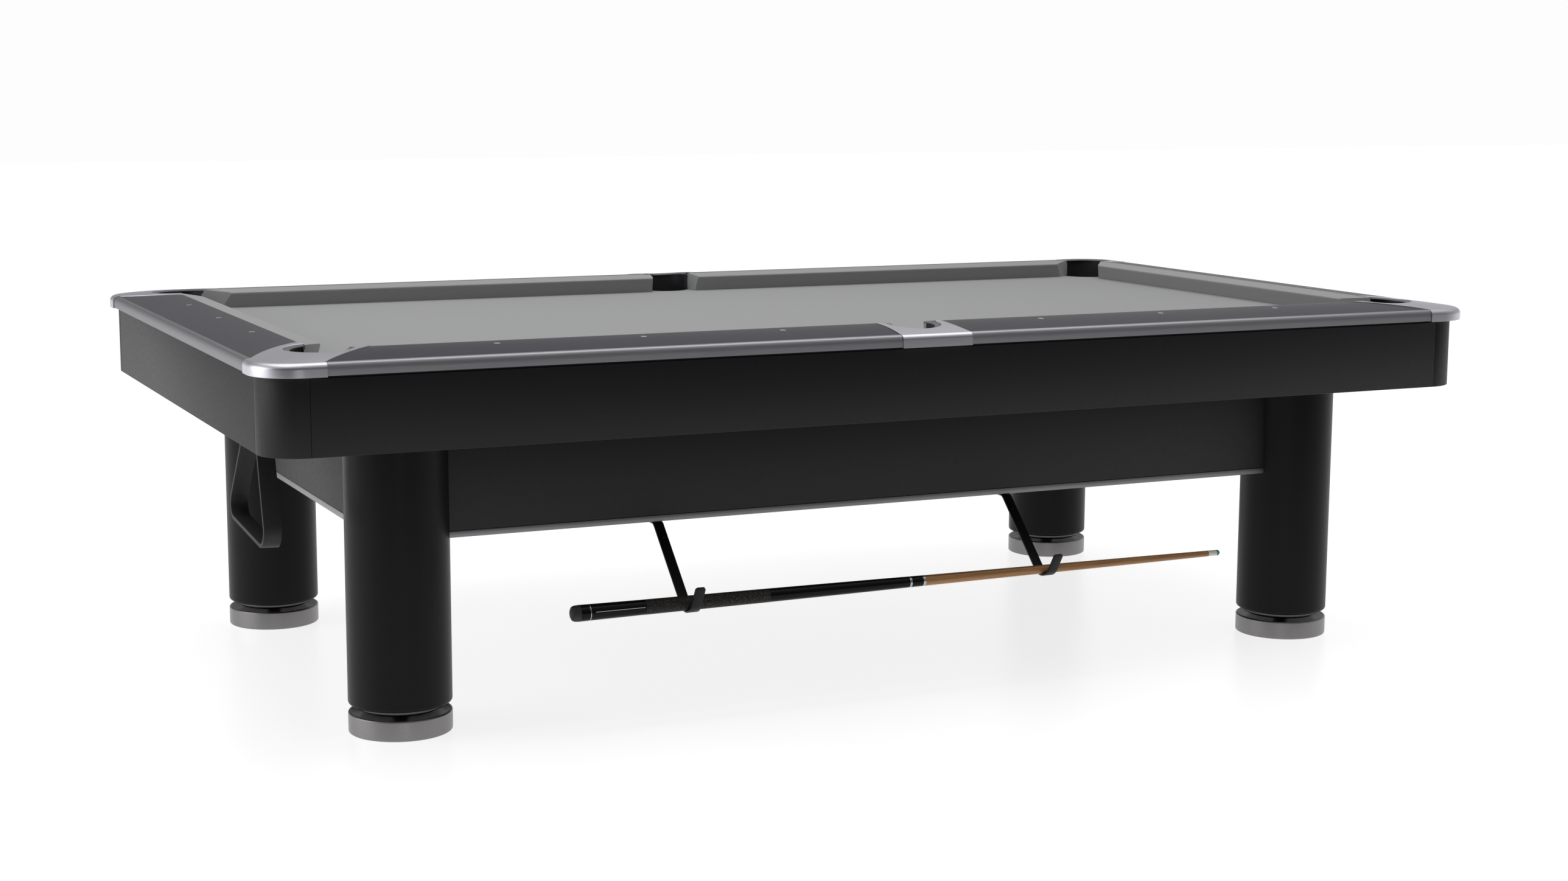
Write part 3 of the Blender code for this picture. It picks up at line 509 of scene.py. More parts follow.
def corner_facing(depth):
    """A point on the long rail's facing, this far outside the nose line."""
    return (FIELD_X - CORNER_MOUTH + depth / math.tan(CORNER_FACING), FIELD_Y + depth)


def side_facing(depth):
    """The same beside the side pocket."""
    return (SIDE_MOUTH - depth * math.tan(SIDE_FACING), FIELD_Y + depth)


def corner_casting_outline():
    return [
        LONG_HORN,
        *LONG_EDGE,
        (TRIM_JOINT_X, LONG_EDGE[-1][1]),
        (TRIM_JOINT_X, BEYOND_Y),
        (BEYOND_X, BEYOND_Y),
        (BEYOND_X, TRIM_JOINT_Y),
        *END_EDGE[::-1],
        END_HORN,
        (END_HORN[0], CORNER_POCKET[1]),
        CORNER_POCKET,
        (CORNER_POCKET[0], LONG_HORN[1]),
    ]


def side_casting_outline():
    """For the middle of the +Y side."""
    half = [
        side_facing(SIDE_THROAT),
        side_facing(SIDE_HORN[1] - FIELD_Y),
        SIDE_HORN,
        *SIDE_EDGE,
        (SIDE_EDGE[-1][0], BEYOND_Y),
    ]
    return half + mirrored(half, -1, 1)[::-1]


def side_flare_outline():
    """Where a side pocket's mouth opens out to the horns' tips."""
    tip = (SIDE_HORN[0] - FLARE_TIP_GAP, SIDE_HORN[1])
    control = (SIDE_RADIUS + FLARE_SPREAD, FIELD_Y + SIDE_THROAT)
    half = bowed((SIDE_RADIUS, SIDE_POCKET_Y), control, tip, 16)
    half.append((tip[0], INSIDE_NOSE_Y))
    return half + mirrored(half, -1, 1)[::-1]


def pocket_centres():
    """Name, centre and radius of each pocket."""
    for name, sign_x, sign_y in CORNERS:
        yield name, (sign_x * CORNER_POCKET[0], sign_y * CORNER_POCKET[1]), CORNER_RADIUS
    for name, sign_y in SIDES:
        yield "side_" + name, (0.0, sign_y * SIDE_POCKET_Y), SIDE_RADIUS


def pocket_tops(centre, radius):
    """Heights of the casting's top round a pocket's circle."""
    return [casting_top(x, y) for x, y, _ in circle(centre, radius, 0)]


# --- Bed ---


def build_bed_cloth():
    """Stretched over the slate, with the pockets cut out of it."""
    half_x, half_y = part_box("bed_cloth")[1].xy
    corner = [(half_x, BED_CHAMFER - half_x), (BED_CHAMFER - half_y, half_y)]
    outline = []
    for sign_x, sign_y, order in ((1, 1, 1), (-1, 1, -1), (-1, -1, 1), (1, -1, -1)):
        outline += mirrored(corner[::order], sign_x, sign_y)
    cloth = slab("bed_cloth_sheet", [outline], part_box("bed_cloth")[0].z, CLOTH_TOP)
    for name, centre, radius in pocket_centres():
        loops = [circle(centre, radius + GAP, height) for height in (CLEAR_BOTTOM, CLEAR_TOP)]
        cut(cloth, lofted("cloth_cut_" + name, loops))
    finished(cloth, "cloth", ["bed_cloth"])


# --- Rails, cushions, trims, castings ---


def build_rails(rail_crown):
    side_end = moved(SIDE_EDGE, RAIL_JOINT, 0)
    long_outline = side_end + moved(LONG_EDGE, -RAIL_JOINT, 0)[::-1]
    half = moved(END_EDGE, 0, -RAIL_JOINT)
    end_outline = half + mirrored(half, 1, -1)[::-1]
    plans = [(name, mirrored(long_outline, sign_x, sign_y)) for name, sign_x, sign_y in CORNERS]
    plans += [(name, mirrored(end_outline, sign_x, 1)) for name, sign_x in ENDS]
    under_trims = [
        rounded_rectangle(BEYOND_X, BEYOND_Y, RECESS_CORNER, 4),
        rounded_rectangle(FIELD_X + RECESS_DEPTH, FIELD_Y + RECESS_DEPTH, RECESS_CORNER, 4),
    ]
    recess = slab("under_trims", under_trims, BELOW_RAILS, TRIM_BOTTOM)
    for name, outline in plans:
        rail = slab(f"rail_{name}_laminate", [outline], RAIL_BOTTOM, CLEAR_TOP)
        keep(rail, rail_crown)
        cut(rail, recess)
        finished(rail, "black_laminate", ["rail_" + name])


def build_sights(levels):
    """Round dots let into the rails at every eighth of the field's length."""
    raised = crown("sight_crown", levels, 0, SIGHT_RISE)
    step, sides = FIELD_X / 4, 32
    rows = [(name, [(k * step, sign * SIGHT_ROW_Y) for k in (-3, -2, -1, 1, 2, 3)]) for name, sign in SIDES]
    rows += [(name, [(sign * SIGHT_ROW_X, k * step) for k in (-1, 0, 1)]) for name, sign in ENDS]
    for name, places in rows:
        dots = [arc(place, SIGHT_RADIUS, 0, 360 - 360 / sides, sides - 1) for place in places]
        row = slab("sights_" + name, dots, RAIL_TOP - RAIL_FALL - SIGHT_DEPTH, CLEAR_TOP)
        keep(row, raised)
        finished(row, "inlay")


def cushion_profile():
    """(distance outside the nose, height): the nose overhangs the cloth."""
    nose = [
        (0.0135, RAIL_BOTTOM),
        (0.0115, 0.7900),
        (0.0024, 0.8095),
        (0.0009, 0.8126),
        (0.0002, 0.8140),
        (0.0000, NOSE_HEIGHT),
        (0.0003, 0.8159),
        (0.0013, 0.8168),
        (0.0030, 0.8174),
        (0.0060, 0.8181),
    ]
    back = CUSHION_DEPTH - GAP
    return [*nose, (back, RAIL_TOP), (back, RAIL_BOTTOM)]


def long_cushion_outline():
    deep = corner_facing(CUSHION_DEPTH - GAP)
    side_back = (side_facing(CUSHION_DEPTH)[0] + CUSHION_END_INSET, deep[1])
    side_nose = eased(side_back, side_facing(0), corner_facing(0), NOSE_EASE)
    corner_nose = eased(side_facing(0), corner_facing(0), deep, NOSE_EASE)
    return [*side_nose, *corner_nose, deep, side_back]


def end_cushion_outline():
    deep = corner_facing(CUSHION_DEPTH - GAP)
    nose = eased(deep, corner_facing(0), (0, FIELD_Y), NOSE_EASE)
    half = swapped([deep, *nose])
    return half + mirrored(half, 1, -1)[::-1]


def cushion_bar(name, outline, along_x, sign, horns):
    """The cushion's section drawn out along its rail, then cut to its outline and for the horns."""
    reach = FIELD_Y if along_x else FIELD_X
    section = [(sign * (reach + depth), height) for depth, height in cushion_profile()]
    if along_x:
        turn = Matrix(((0, 0, 1, 0), (1, 0, 0, 0), (0, 1, 0, 0), (0, 0, 0, 1)))
    else:
        turn = Matrix(((1, 0, 0, 0), (0, 0, -1, 0), (0, 1, 0, 0), (0, 0, 0, 1)))
    bar = plate(f"cushion_{name}_cloth", [section], 2 * BEYOND_X, turn)
    plan = slab(f"cushion_{name}_plan", [outline], BELOW_RAILS, CLEAR_TOP)
    keep(bar, plan)
    for horn in horns:
        cut(bar, horn)
    finished(bar, "cloth", ["cushion_" + name])


def horn_cutter(name, outline):
    return slab(name, [outline], HORN_BOTTOM - GAP, CLEAR_TOP)


def horn_space(horn, edge_start, side):
    """Room above a cushion's end for a casting's horn, in plan, leaning as the horn does."""
    near_x, near_y = horn[0] - HORN_SLACK, horn[1] - GAP
    far_y = edge_start[1] + HORN_ROOM
    lean = (edge_start[0] - horn[0]) / (edge_start[1] - horn[1])
    return [(near_x, near_y), (side, near_y), (side, far_y), (near_x + lean * (far_y - near_y), far_y)]


def side_horn_space():
    half = [(SIDE_HORN[0] + GAP, SIDE_HORN[1] - GAP), (SIDE_HORN[0] + GAP, SIDE_EDGE[0][1] + HORN_ROOM)]
    return half + mirrored(half, -1, 1)[::-1]


def build_cushions():
    long_space = horn_space(LONG_HORN, LONG_EDGE[0], FIELD_X)
    # The end's horn is worked out with X and Y exchanged
    end_space = [point[::-1] for point in horn_space(END_HORN[::-1], END_EDGE[0][::-1], FIELD_Y)]
    side_horns, corner_horns = {}, {}
    for name, sign_y in SIDES:
        side_horns[sign_y] = horn_cutter("side_horn_cut_" + name, mirrored(side_horn_space(), 1, sign_y))
    for name, sign_x, sign_y in CORNERS:
        long_horn = horn_cutter("horn_cut_" + name, mirrored(long_space, sign_x, sign_y))
        end_horn = horn_cutter("end_horn_cut_" + name, mirrored(end_space, sign_x, sign_y))
        corner_horns[sign_x, sign_y] = (long_horn, end_horn)
    for name, sign_x, sign_y in CORNERS:
        outline = mirrored(long_cushion_outline(), sign_x, sign_y)
        horns = (side_horns[sign_y], corner_horns[sign_x, sign_y][0])
        cushion_bar(name, outline, True, sign_y, horns)
    for name, sign_x in ENDS:
        outline = mirrored(end_cushion_outline(), sign_x, 1)
        horns = (corner_horns[sign_x, -1][1], corner_horns[sign_x, 1][1])
        cushion_bar(name, outline, False, sign_x, horns)


def build_trims(trim_crown):
    reach_x, reach_y = TRIM_JOINT_X - RAIL_JOINT, TRIM_JOINT_Y - RAIL_JOINT
    long_plan = rectangle(-reach_x, FIELD_Y + LAMINATE_DEPTH, reach_x, BEYOND_Y)
    end_plan = rectangle(FIELD_X + LAMINATE_DEPTH, -reach_y, BEYOND_X, reach_y)
    # The side trims take a lighter-painted copy of the trim metal and the end trims a darker-painted one:
    # painted light and shade for how the lamps fall on them.
    plans = [(name, mirrored(long_plan, 1, sign), "trim_x_painted_light") for name, sign in SIDES]
    plans += [(name, mirrored(end_plan, sign, 1), "trim_y_painted_shade") for name, sign in ENDS]
    for name, outline, look in plans:
        trim = slab(f"trim_{name}_rail", [outline], TRIM_BOTTOM, CLEAR_TOP)
        keep(trim, trim_crown)
        finished(trim, look, ["trim_" + name], slot="brushed_trim")


def rim_cutter(name, centre, radius):
    """A pocket's hole, opening out in a small rounding that follows the casting's top."""
    tops = pocket_tops(centre, radius)
    loops = [circle(centre, radius, BELOW_RAILS)]
    for degrees in (0, 24, 48, 70):
        turn = math.radians(degrees)
        ring = circle(centre, radius + RIM_ROUNDING * (1 - math.cos(turn)), 0)
        sunk = RIM_ROUNDING * (1 - math.sin(turn))
        loops.append([(x, y, top - sunk) for (x, y, _), top in zip(ring, tops)])
    loops.append(circle(centre, radius + RIM_ROUNDING, CUT_TOP))
    return lofted("rim_cut_" + name, loops)


def casting_cover(name, outline, casting_crown, centre, radius):
    """A casting's outline under its crown, with the pocket's hole through it."""
    casting = slab(f"casting_{name}_cover", [outline], CASTING_BOTTOM, CLEAR_TOP)
    keep(casting, casting_crown)
    cut(casting, rim_cutter(name, centre, radius))
    return casting


def build_corner_castings(casting_crown):
    for name, sign_x, sign_y in CORNERS:
        outline = mirrored(corner_casting_outline(), sign_x, sign_y)
        centre = (sign_x * CORNER_POCKET[0], sign_y * CORNER_POCKET[1])
        casting = casting_cover(name, outline, casting_crown, centre, CORNER_RADIUS)
        for part, plan in (
            ("long", rectangle(INSIDE_X, INSIDE_NOSE_Y, UNDER_LONG_HORN_X, FIELD_Y + CUSHION_DEPTH)),
            ("end", rectangle(UNDER_END_HORN[0], INSIDE_Y, FIELD_X + CUSHION_DEPTH, UNDER_END_HORN[1])),
        ):
            plan = mirrored(plan, sign_x, sign_y)
            cut(casting, slab(f"recess_{part}_{name}", [plan], BELOW_RAILS, HORN_BOTTOM))
        finished(casting, "satin_casting", ["casting_" + name])


def build_side_castings(casting_crown, trim_clearance):
    """Each saddles its long trim, which runs through behind its face."""
    reach = BESIDE_SIDE_POCKET
    for name, sign_y in SIDES:
        outline = mirrored(side_casting_outline(), 1, sign_y)
        centre = (0, sign_y * SIDE_POCKET_Y)
        casting = casting_cover("side_" + name, outline, casting_crown, centre, SIDE_RADIUS)
        band = mirrored(rectangle(-reach, FIELD_Y + LAMINATE_DEPTH - GAP, reach, BEYOND_Y), 1, sign_y)
        trim_space = slab("trim_space_" + name, [band], TRIM_BOTTOM - GAP, CUT_TOP)
        keep(trim_space, trim_clearance)
        cut(casting, trim_space)
        flare_outline = mirrored(side_flare_outline(), 1, sign_y)
        flare = slab("flare_" + name, [flare_outline], RAIL_TOP - FLARE_DEPTH, CUT_TOP)
        cut(casting, flare)
        plan = mirrored(rectangle(-reach, INSIDE_NOSE_Y, reach, FIELD_Y + CUSHION_DEPTH), 1, sign_y)
        cut(casting, slab("side_recess_" + name, [plan], BELOW_RAILS, HORN_BOTTOM))
        finished(casting, "satin_casting", ["casting_side_" + name])


def mouth_outline(centre):
    """The part of a pocket's circle on the field side of its cushions' facings."""
    sign_x, sign_y = (math.copysign(1, value) for value in centre)
    if centre[0] == 0:
        reach = BESIDE_SIDE_POCKET
        return mirrored(rectangle(-reach, INSIDE_NOSE_Y, reach, SIDE_MOUTH_BACK), 1, sign_y)
    near = corner_facing(CUSHION_DEPTH)
    far = swapped([near])[0]
    outline = [near, far, (far[0], INSIDE_Y), (INSIDE_X, INSIDE_Y), (INSIDE_X, near[1])]
    return mirrored(outline, sign_x, sign_y)


def ring_at(centre, radius, tops, drop):
    """A loop of this radius that stays this far below the casting's top."""
    return [(x, y, top - drop) for (x, y, _), top in zip(circle(centre, radius, 0), tops)]


def build_liners():
    """A dark cup under each pocket, and the lip that closes its top inside the casting, its rubber painted
    grey as a sheen on the liner's top.
    """
    for name, centre, radius in pocket_centres():
        tops = pocket_tops(centre, radius)
        mouth = slab("mouth_cut_" + name, [mouth_outline(centre)], LINER_MOUTH, CUT_TOP)
        cup = liner_cup(name, centre, radius, tops)
        lip = liner_lip(name, centre, radius, tops)
        for piece in (cup, lip):
            cut(piece, mouth)
        # The lip's grey colour is a painted sheen on the liner's rubber.
        finished(lip, "lip_rubber_painted_sheen")
        finished(cup, "liner_rubber", ["pocket_liner_" + name])


def liner_cup(name, centre, radius, tops):
    """Open at the top, with its floor rounded up into the wall."""
    outer = radius - LINER_GAP
    inner = outer - LINER_WALL
    loops = [
        circle(centre, outer, LINER_BOTTOM),
        ring_at(centre, outer, tops, LIP_DEPTH + GAP),
        ring_at(centre, inner, tops, LIP_DEPTH + GAP),
    ]
    for degrees in (0, 30, 60, 90):
        turn = math.radians(degrees)
        ring_radius = inner - LINER_FLOOR_ROUNDING * (1 - math.cos(turn))
        height = LINER_BOTTOM + LINER_FLOOR + LINER_FLOOR_ROUNDING * (1 - math.sin(turn))
        loops.append(circle(centre, ring_radius, height))
    return lofted(f"pocket_liner_{name}_cup", loops)


def liner_lip(name, centre, radius, tops):
    """A ring that falls gently inwards, with both top edges rounded over."""
    outer = radius - LINER_GAP
    inner = outer - LIP_WIDTH
    edge = LIP_ROUNDING
    low = LIP_SUNK + LIP_FALL
    section = [(outer, LIP_DEPTH)]
    section += [(outer - edge + edge * c, LIP_SUNK + edge * (1 - s)) for c, s in arc((0, 0), 1, 0, 90, 3)]
    section += [(inner + edge + edge * c, low + edge * (1 - s)) for c, s in arc((0, 0), 1, 90, 180, 3)]
    section += [(inner, LIP_DEPTH)]
    loops = [ring_at(centre, reach, tops, drop) for reach, drop in section]
    return lofted(f"pocket_lip_{name}", loops, ring=True)


# --- Cabinet ---


def build_cabinet():
    for name, _ in SIDES + ENDS:
        board = bevelled(copy_of("skirt_" + name), BOARD_BEVEL)
        finished(board, "black_board", ["skirt_" + name])
        build_stretcher(name)
    for name, _, _ in CORNERS:
        panel = bevelled(copy_of("corner_panel_" + name), BOARD_BEVEL)
        finished(panel, "black_board", ["corner_panel_" + name])


def build_stretcher(name):
    """The board, and the metal strip that edges it along the bottom."""
    # The side strips take a darker-painted copy of the strip metal and the end strips a lighter-painted one:
    # painted shade and light.
    look = "strip_x" if name in ("front", "back") else "strip_y"
    for part, upper, part_look in (("board", True, "black_board"), ("strip", False, look)):
        builder = node_builder("stretcher_" + name)
        parted = bmesh.ops.bisect_plane(
            builder,
            geom=[*builder.verts, *builder.edges, *builder.faces],
            plane_co=(0, 0, STRIP_TOP + (GAP if upper else -GAP)),
            plane_no=(0, 0, 1),
            clear_inner=upper,
            clear_outer=not upper,
        )
        rim = [edge for edge in parted["geom_cut"] if isinstance(edge, bmesh.types.BMEdge)]
        bmesh.ops.edgeloop_fill(builder, edges=rim)
        half = bevelled(mesh_object(f"stretcher_{name}_{part}", builder), STRETCHER_BEVEL)
        finished(half, part_look, ["stretcher_" + name] if upper else ())


# --- Legs and feet ---


def leg_profile():
    """A plain column, rounded at its foot and bored for the stem."""
    low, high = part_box("leg_front_left")
    return [
        (0, high.z),
        (LEG_RADIUS - LEG_BEVEL, high.z),
        (LEG_RADIUS, high.z - LEG_BEVEL),
        *arc((LEG_RADIUS - LEG_ROUNDING, low.z + LEG_ROUNDING), LEG_ROUNDING, 0, -90, 8),
        (LEG_BORE, low.z),
        (LEG_BORE, LEG_BORE_TOP),
        (0, LEG_BORE_TOP),
    ]


def foot_ring_profile():
    """A wall with a thin raised lip round a shallow dish."""
    outer = LEG_RADIUS
    shoulder = (outer - FOOT_SHOULDER, FOOT_TOP - FOOT_SHOULDER)
    lip = (outer - FOOT_LIP_CREST, FOOT_TOP - FOOT_LIP_RADIUS)
    return [
        (0, FOOT_BORE_BOTTOM),
        (FOOT_BORE, FOOT_BORE_BOTTOM),
        *[(radius, FOOT_TOP - depth) for radius, depth in FOOT_DISH],
        (outer - FOOT_LIP_START, lip[1]),
        *arc(lip, FOOT_LIP_RADIUS, 180, 90, 4),
        *arc(shoulder, FOOT_SHOULDER, 90, 0, 6),
        (outer, FOOT_WALL_BOTTOM),
        *arc((outer - FOOT_TOE, FOOT_TOE), FOOT_TOE, 0, -90, 4),
        (0, 0),
    ]


def foot_screw_profile():
    """A stem through a dark collar that flares out upwards."""
    flare_centre, flare_radius = COLLAR_FLARE
    return [
        (0, STEM_TOP),
        (STEM_RADIUS - STEM_BEVEL, STEM_TOP),
        (STEM_RADIUS, STEM_TOP - STEM_BEVEL),
        (STEM_RADIUS, COLLAR_TOP),
        (COLLAR_RADIUS, COLLAR_TOP),
        *arc((COLLAR_RADIUS, COLLAR_TOP - COLLAR_ROUNDING), COLLAR_ROUNDING, 90, 0, 4)[1:],
        (COLLAR_RADIUS, COLLAR_BOTTOM + COLLAR_WALL_FOOT),
        *arc((flare_centre, COLLAR_BOTTOM + flare_radius), flare_radius, -20, -90, 4),
        (STEM_RADIUS, COLLAR_BOTTOM),
        (STEM_RADIUS, STEM_BOTTOM),
        (0, STEM_BOTTOM),
    ]


def build_legs_and_feet():
    for name, sign_x, sign_y in CORNERS:
        place = Matrix.Translation((sign_x * LEG_X, sign_y * LEG_Y, 0))
        leg = turned(f"leg_{name}_column", leg_profile(), place)
        finished(leg, "black_satin", ["leg_" + name])
        ring = turned(f"foot_ring_{name}_casting", foot_ring_profile(), place)
        finished(ring, "pewter", ["foot_ring_" + name], "foot_" + name)
        screw = turned(f"foot_screw_{name}_collar", foot_screw_profile(), place)
        finished(screw, "collar_steel", ["foot_screw_" + name], "screw_" + name, "polished_steel")


# --- Cue, hooks, rack ---

# The cue's outline, as (distance from the butt, radius)
CUE_RADII = (
    (0.0000, 0.0110),
    (0.0025, 0.0150),
    (0.0075, 0.0168),
    (0.0175, 0.0174),
    (0.1600, 0.0160),
    (0.4440, 0.0147),
    (0.6730, 0.0131),
    (0.8190, 0.0117),
    (1.4230, 0.0078),
    (1.5635, 0.0067),
    (1.5910, 0.0065),
    (1.5940, 0.0045),
)


def cue_radius(along):
    """The cue's radius at this distance from its butt."""
    for (start, first), (end, last) in zip(CUE_RADII, CUE_RADII[1:]):
        if along <= end:
            return first + (last - first) * (along - start) / (end - start)
    return CUE_RADII[-1][1]


# Stretches of the cue, from the butt: name, where it ends along the table, look
CUE_STRETCHES = (
    ("bumper", -0.8045, "cue_rubber"),
    ("butt_cap", -0.7846, "cue_black"),
    ("butt_ring", -0.7830, "cue_ring"),
    ("butt_sleeve", -0.6610, "cue_black"),
    ("wrap", -0.3780, "cue_wrap"),
    ("forearm", -0.0420, "cue_black"),
    ("joint_ring", -0.0370, "cue_ring"),
    ("joint_collar", -0.0090, "cue_black"),
    ("shaft_ring", -0.0030, "cue_ring"),
    ("shaft", 0.7413, "cue_shaft"),
    ("ferrule", 0.7640, "cue_ferrule"),
    ("tip", 0.7720, "cue_tip"),
)


def build_cue():
    start = CUE_BUTT
    lay = Matrix.Translation((CUE_BUTT, CUE_Y, CUE_Z)) @ Matrix.Rotation(math.pi / 2, 4, "Y")
    for name, end, look in CUE_STRETCHES:
        low, high = start - CUE_BUTT, end - CUE_BUTT
        inner = [(cue_radius(a), a) for a, _ in CUE_RADII if low + 1e-4 < a < high - 1e-4]
        profile = [(0, low), (cue_radius(low), low), *inner, (cue_radius(high), high), (0, high)]
        piece = turned("cue_" + name, profile, lay, 48)
        finished(piece, look, body="cue", slot="cue_wood" if name == "shaft" else None)
        start = end
    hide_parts("cue")


def build_cue_pale_line():
    """A thin pale strip along the front of the butt sleeve, partly sunk into it and a little proud of it."""
    start, end = PALE_LINE_ENDS
    steps = 8
    section = ((-1, PALE_LINE_PROUD), (1, PALE_LINE_PROUD), (1, PALE_LINE_SUNK), (-1, PALE_LINE_SUNK))
    loops = []
    for i in range(steps + 1):
        x = start + (end - start) * i / steps
        loop = []
        for side, height in section:
            radius = cue_radius(x - CUE_BUTT) + height
            turn = PALE_LINE_TURN + side * PALE_LINE_WIDTH / 2 / radius
            loop.append((x, CUE_Y + radius * math.cos(turn), CUE_Z + radius * math.sin(turn)))
        loops.append(loop)
    finished(lofted("cue_pale_line", loops), "cue_ferrule", body="cue")


def tangent_angles(point, centre, radius):
    """Direction from the point to the centre, and the angle a tangent turns away from it."""
    across, up = centre[0] - point[0], centre[1] - point[1]
    turn = math.asin(radius / math.hypot(across, up))
    return math.degrees(math.atan2(up, across)), math.degrees(turn)


def hook_path(x):
    """Centre line in the YZ plane of the strap at this X, from its tab round the cradle to its tip."""
    bottom = CUE_Z - cue_radius(x - CUE_BUTT) - GAP - HOOK_THICKNESS / 2
    centre = (CUE_Y, bottom + HOOK_CRADLE)
    bend_heading, bend_turn = tangent_angles(HOOK_BEND, centre, HOOK_CRADLE)
    tip_heading, tip_turn = tangent_angles(HOOK_TIP, centre, HOOK_CRADLE)
    cradle = arc(centre, HOOK_CRADLE, bend_heading + bend_turn + 90, tip_heading - tip_turn - 90, 24)
    level = (HOOK_BEND[0] + HOOK_BEND_REACH, HOOK_BEND[1])
    corner = bowed(level, HOOK_BEND, point_between(HOOK_BEND, cradle[0], HOOK_BEND_REACH), HOOK_BEND_STEPS)
    return [(HOOK_TAB_END, HOOK_BEND[1]), *corner, *cradle, *tip_points(cradle[-1])]


# Degrees round a tip's corners at which its strap has points
TIP_TURNS = (0, 15, 30, 45, 60, 75, 90)


def tip_points(start):
    """The last stretch to the tip, with closer points where its corners are rounded off."""
    reach = math.dist(start, HOOK_TIP)
    backs = [HOOK_TIP_RADIUS * (1 - math.sin(math.radians(a))) for a in TIP_TURNS]
    return [point_between(start, HOOK_TIP, reach - back) for back in backs]


def build_hooks():
    """Two bent straps that hold the cue level, each narrowing to a rounded tip."""
    for name, x in HOOK_PLACES:
        path = hook_path(x)
        builder = bmesh.new()
        rows = []
        for i, (y, z) in enumerate(path):
            from_tip = len(path) - i
            turn = math.radians(TIP_TURNS[-from_tip]) if from_tip <= len(TIP_TURNS) else 0
            half = HOOK_WIDTH / 2 - HOOK_TIP_RADIUS * (1 - math.cos(turn))
            rows.append([builder.verts.new((x + side * half, y, z)) for side in (-1, 1)])
        for (a, b), (c, d) in zip(rows, rows[1:]):
            builder.faces.new((a, b, d, c))
        strap = mesh_object(name + "_strap", builder)
        thicken = strap.modifiers.new("thickness", "SOLIDIFY")
        thicken.thickness = HOOK_THICKNESS
        thicken.offset = 0
        thicken.use_even_offset = True
        bevelled(strap, HOOK_BEVEL, 2, 50)
        finished(strap, "black_steel", [name])
        build_hook_screw(name, x, path)


def build_hook_screw(name, x, path):
    """A screw's round head on the front of the strap, a little below its bend."""
    bend_end = HOOK_BEND_STEPS + 1
    top, bottom = path[bend_end], path[bend_end + 1]
    down = Vector((0, bottom[0] - top[0], bottom[1] - top[1])).normalized()
    out = Vector((0, down.z, -down.y))
    if out.y > 0:
        out.negate()
    spot = Vector((x, *top)) + down * SCREW_DROP + out * (HOOK_THICKNESS / 2 - SCREW_SUNK)
    side = out.cross(down)
    turn = Matrix((side, down, out)).transposed().to_4x4()
    dome = [(SCREW_RADIUS * c, SCREW_HEIGHT * s) for c, s in arc((0, 0), 1, 75, 0, 5)]
    profile = [(0, SCREW_HEIGHT), *dome, (0, 0)]
    head = turned(name + "_screw", profile, Matrix.Translation(spot) @ turn, 24)
    finished(head, "black_steel")


def build_rack():
    rack = bevelled(copy_of("ball_rack"), RACK_BEVEL, 3, 50)
    finished(rack, "black_plastic", ["ball_rack"], "ball_rack", sharp=40)
    hanger = bevelled(copy_of("rack_hanger"), HANGER_BEVEL, 2, 50)
    finished(hanger, "polished_steel", ["rack_hanger"])


# --- Materials ---


def graded(tree, value, ends, results):
    """Goes from the first result to the last while the value goes from end to end."""
    spread = tree.nodes.new("ShaderNodeMapRange")
    names = ("From Min", "From Max", "To Min", "To Max")
    for name, number in zip(names, (*ends, *results)):
        spread.inputs[name].default_value = number
    tree.links.new(value, spread.inputs["Value"])
    return spread.outputs["Result"]


class Look:
    """A procedural material: a Principled shader whose colour, roughness and bump come from noise."""

    def __init__(self, name, colour, roughness, metallic=0.0, specular=0.5):
        self.material = bpy.data.materials.new(name)
        self.material.use_nodes = True
        self.nodes = self.material.node_tree.nodes
        self.links = self.material.node_tree.links
        self.shader = self.nodes["Principled BSDF"]
        self.colour = colour
        self.set("Base Color", (*colour, 1))
        self.set("Roughness", roughness)
        self.set("Metallic", metallic)
        self.set("Specular IOR Level", specular)
        self.place = self.nodes.new("ShaderNodeTexCoord").outputs["Object"]
        self.normal = None

    def set(self, socket, value):
        self.shader.inputs[socket].default_value = value

    def noise(self, scale, stretch=(1, 1, 1), detail=3.0, roughness=0.55):
        """Noise with this many features to the metre, closer or further apart along each axis."""
        mapping = self.nodes.new("ShaderNodeMapping")
        mapping.inputs["Scale"].default_value = [scale * s for s in stretch]
        self.links.new(self.place, mapping.inputs["Vector"])
        texture = self.nodes.new("ShaderNodeTexNoise")
        texture.inputs["Scale"].default_value = 1
        texture.inputs["Detail"].default_value = detail
        texture.inputs["Roughness"].default_value = roughness
        self.links.new(mapping.outputs["Vector"], texture.inputs["Vector"])
        return texture.outputs["Fac"]

    def tint(self, value, dark, light, start=0.3, end=0.7):
        """Colours the surface from dark to light as the value goes from start to end."""
        ramp = self.nodes.new("ShaderNodeValToRGB")
        first, last = ramp.color_ramp.elements
        first.position, last.position = start, end
        first.color, last.color = (*dark, 1), (*light, 1)
        self.links.new(value, ramp.inputs["Fac"])
        self.links.new(ramp.outputs["Color"], self.shader.inputs["Base Color"])

    def shade(self, value, amount):
        """Varies the colour by this share either way."""
        dark, light = ([c * share for c in self.colour] for share in (1 - amount, 1 + amount))
        self.tint(value, dark, light)

    def gloss(self, value, low, high):
        """Varies the roughness between low and high."""
        spread = graded(self.material.node_tree, value, (0.3, 0.7), (low, high))
        self.links.new(spread, self.shader.inputs["Roughness"])

    def bump(self, value, depth, strength=1.0):
        node = self.nodes.new("ShaderNodeBump")
        node.inputs["Distance"].default_value = depth
        node.inputs["Strength"].default_value = strength
        self.links.new(value, node.inputs["Height"])
        if self.normal:
            self.links.new(self.normal, node.inputs["Normal"])
        self.normal = node.outputs["Normal"]
        self.links.new(self.normal, self.shader.inputs["Normal"])


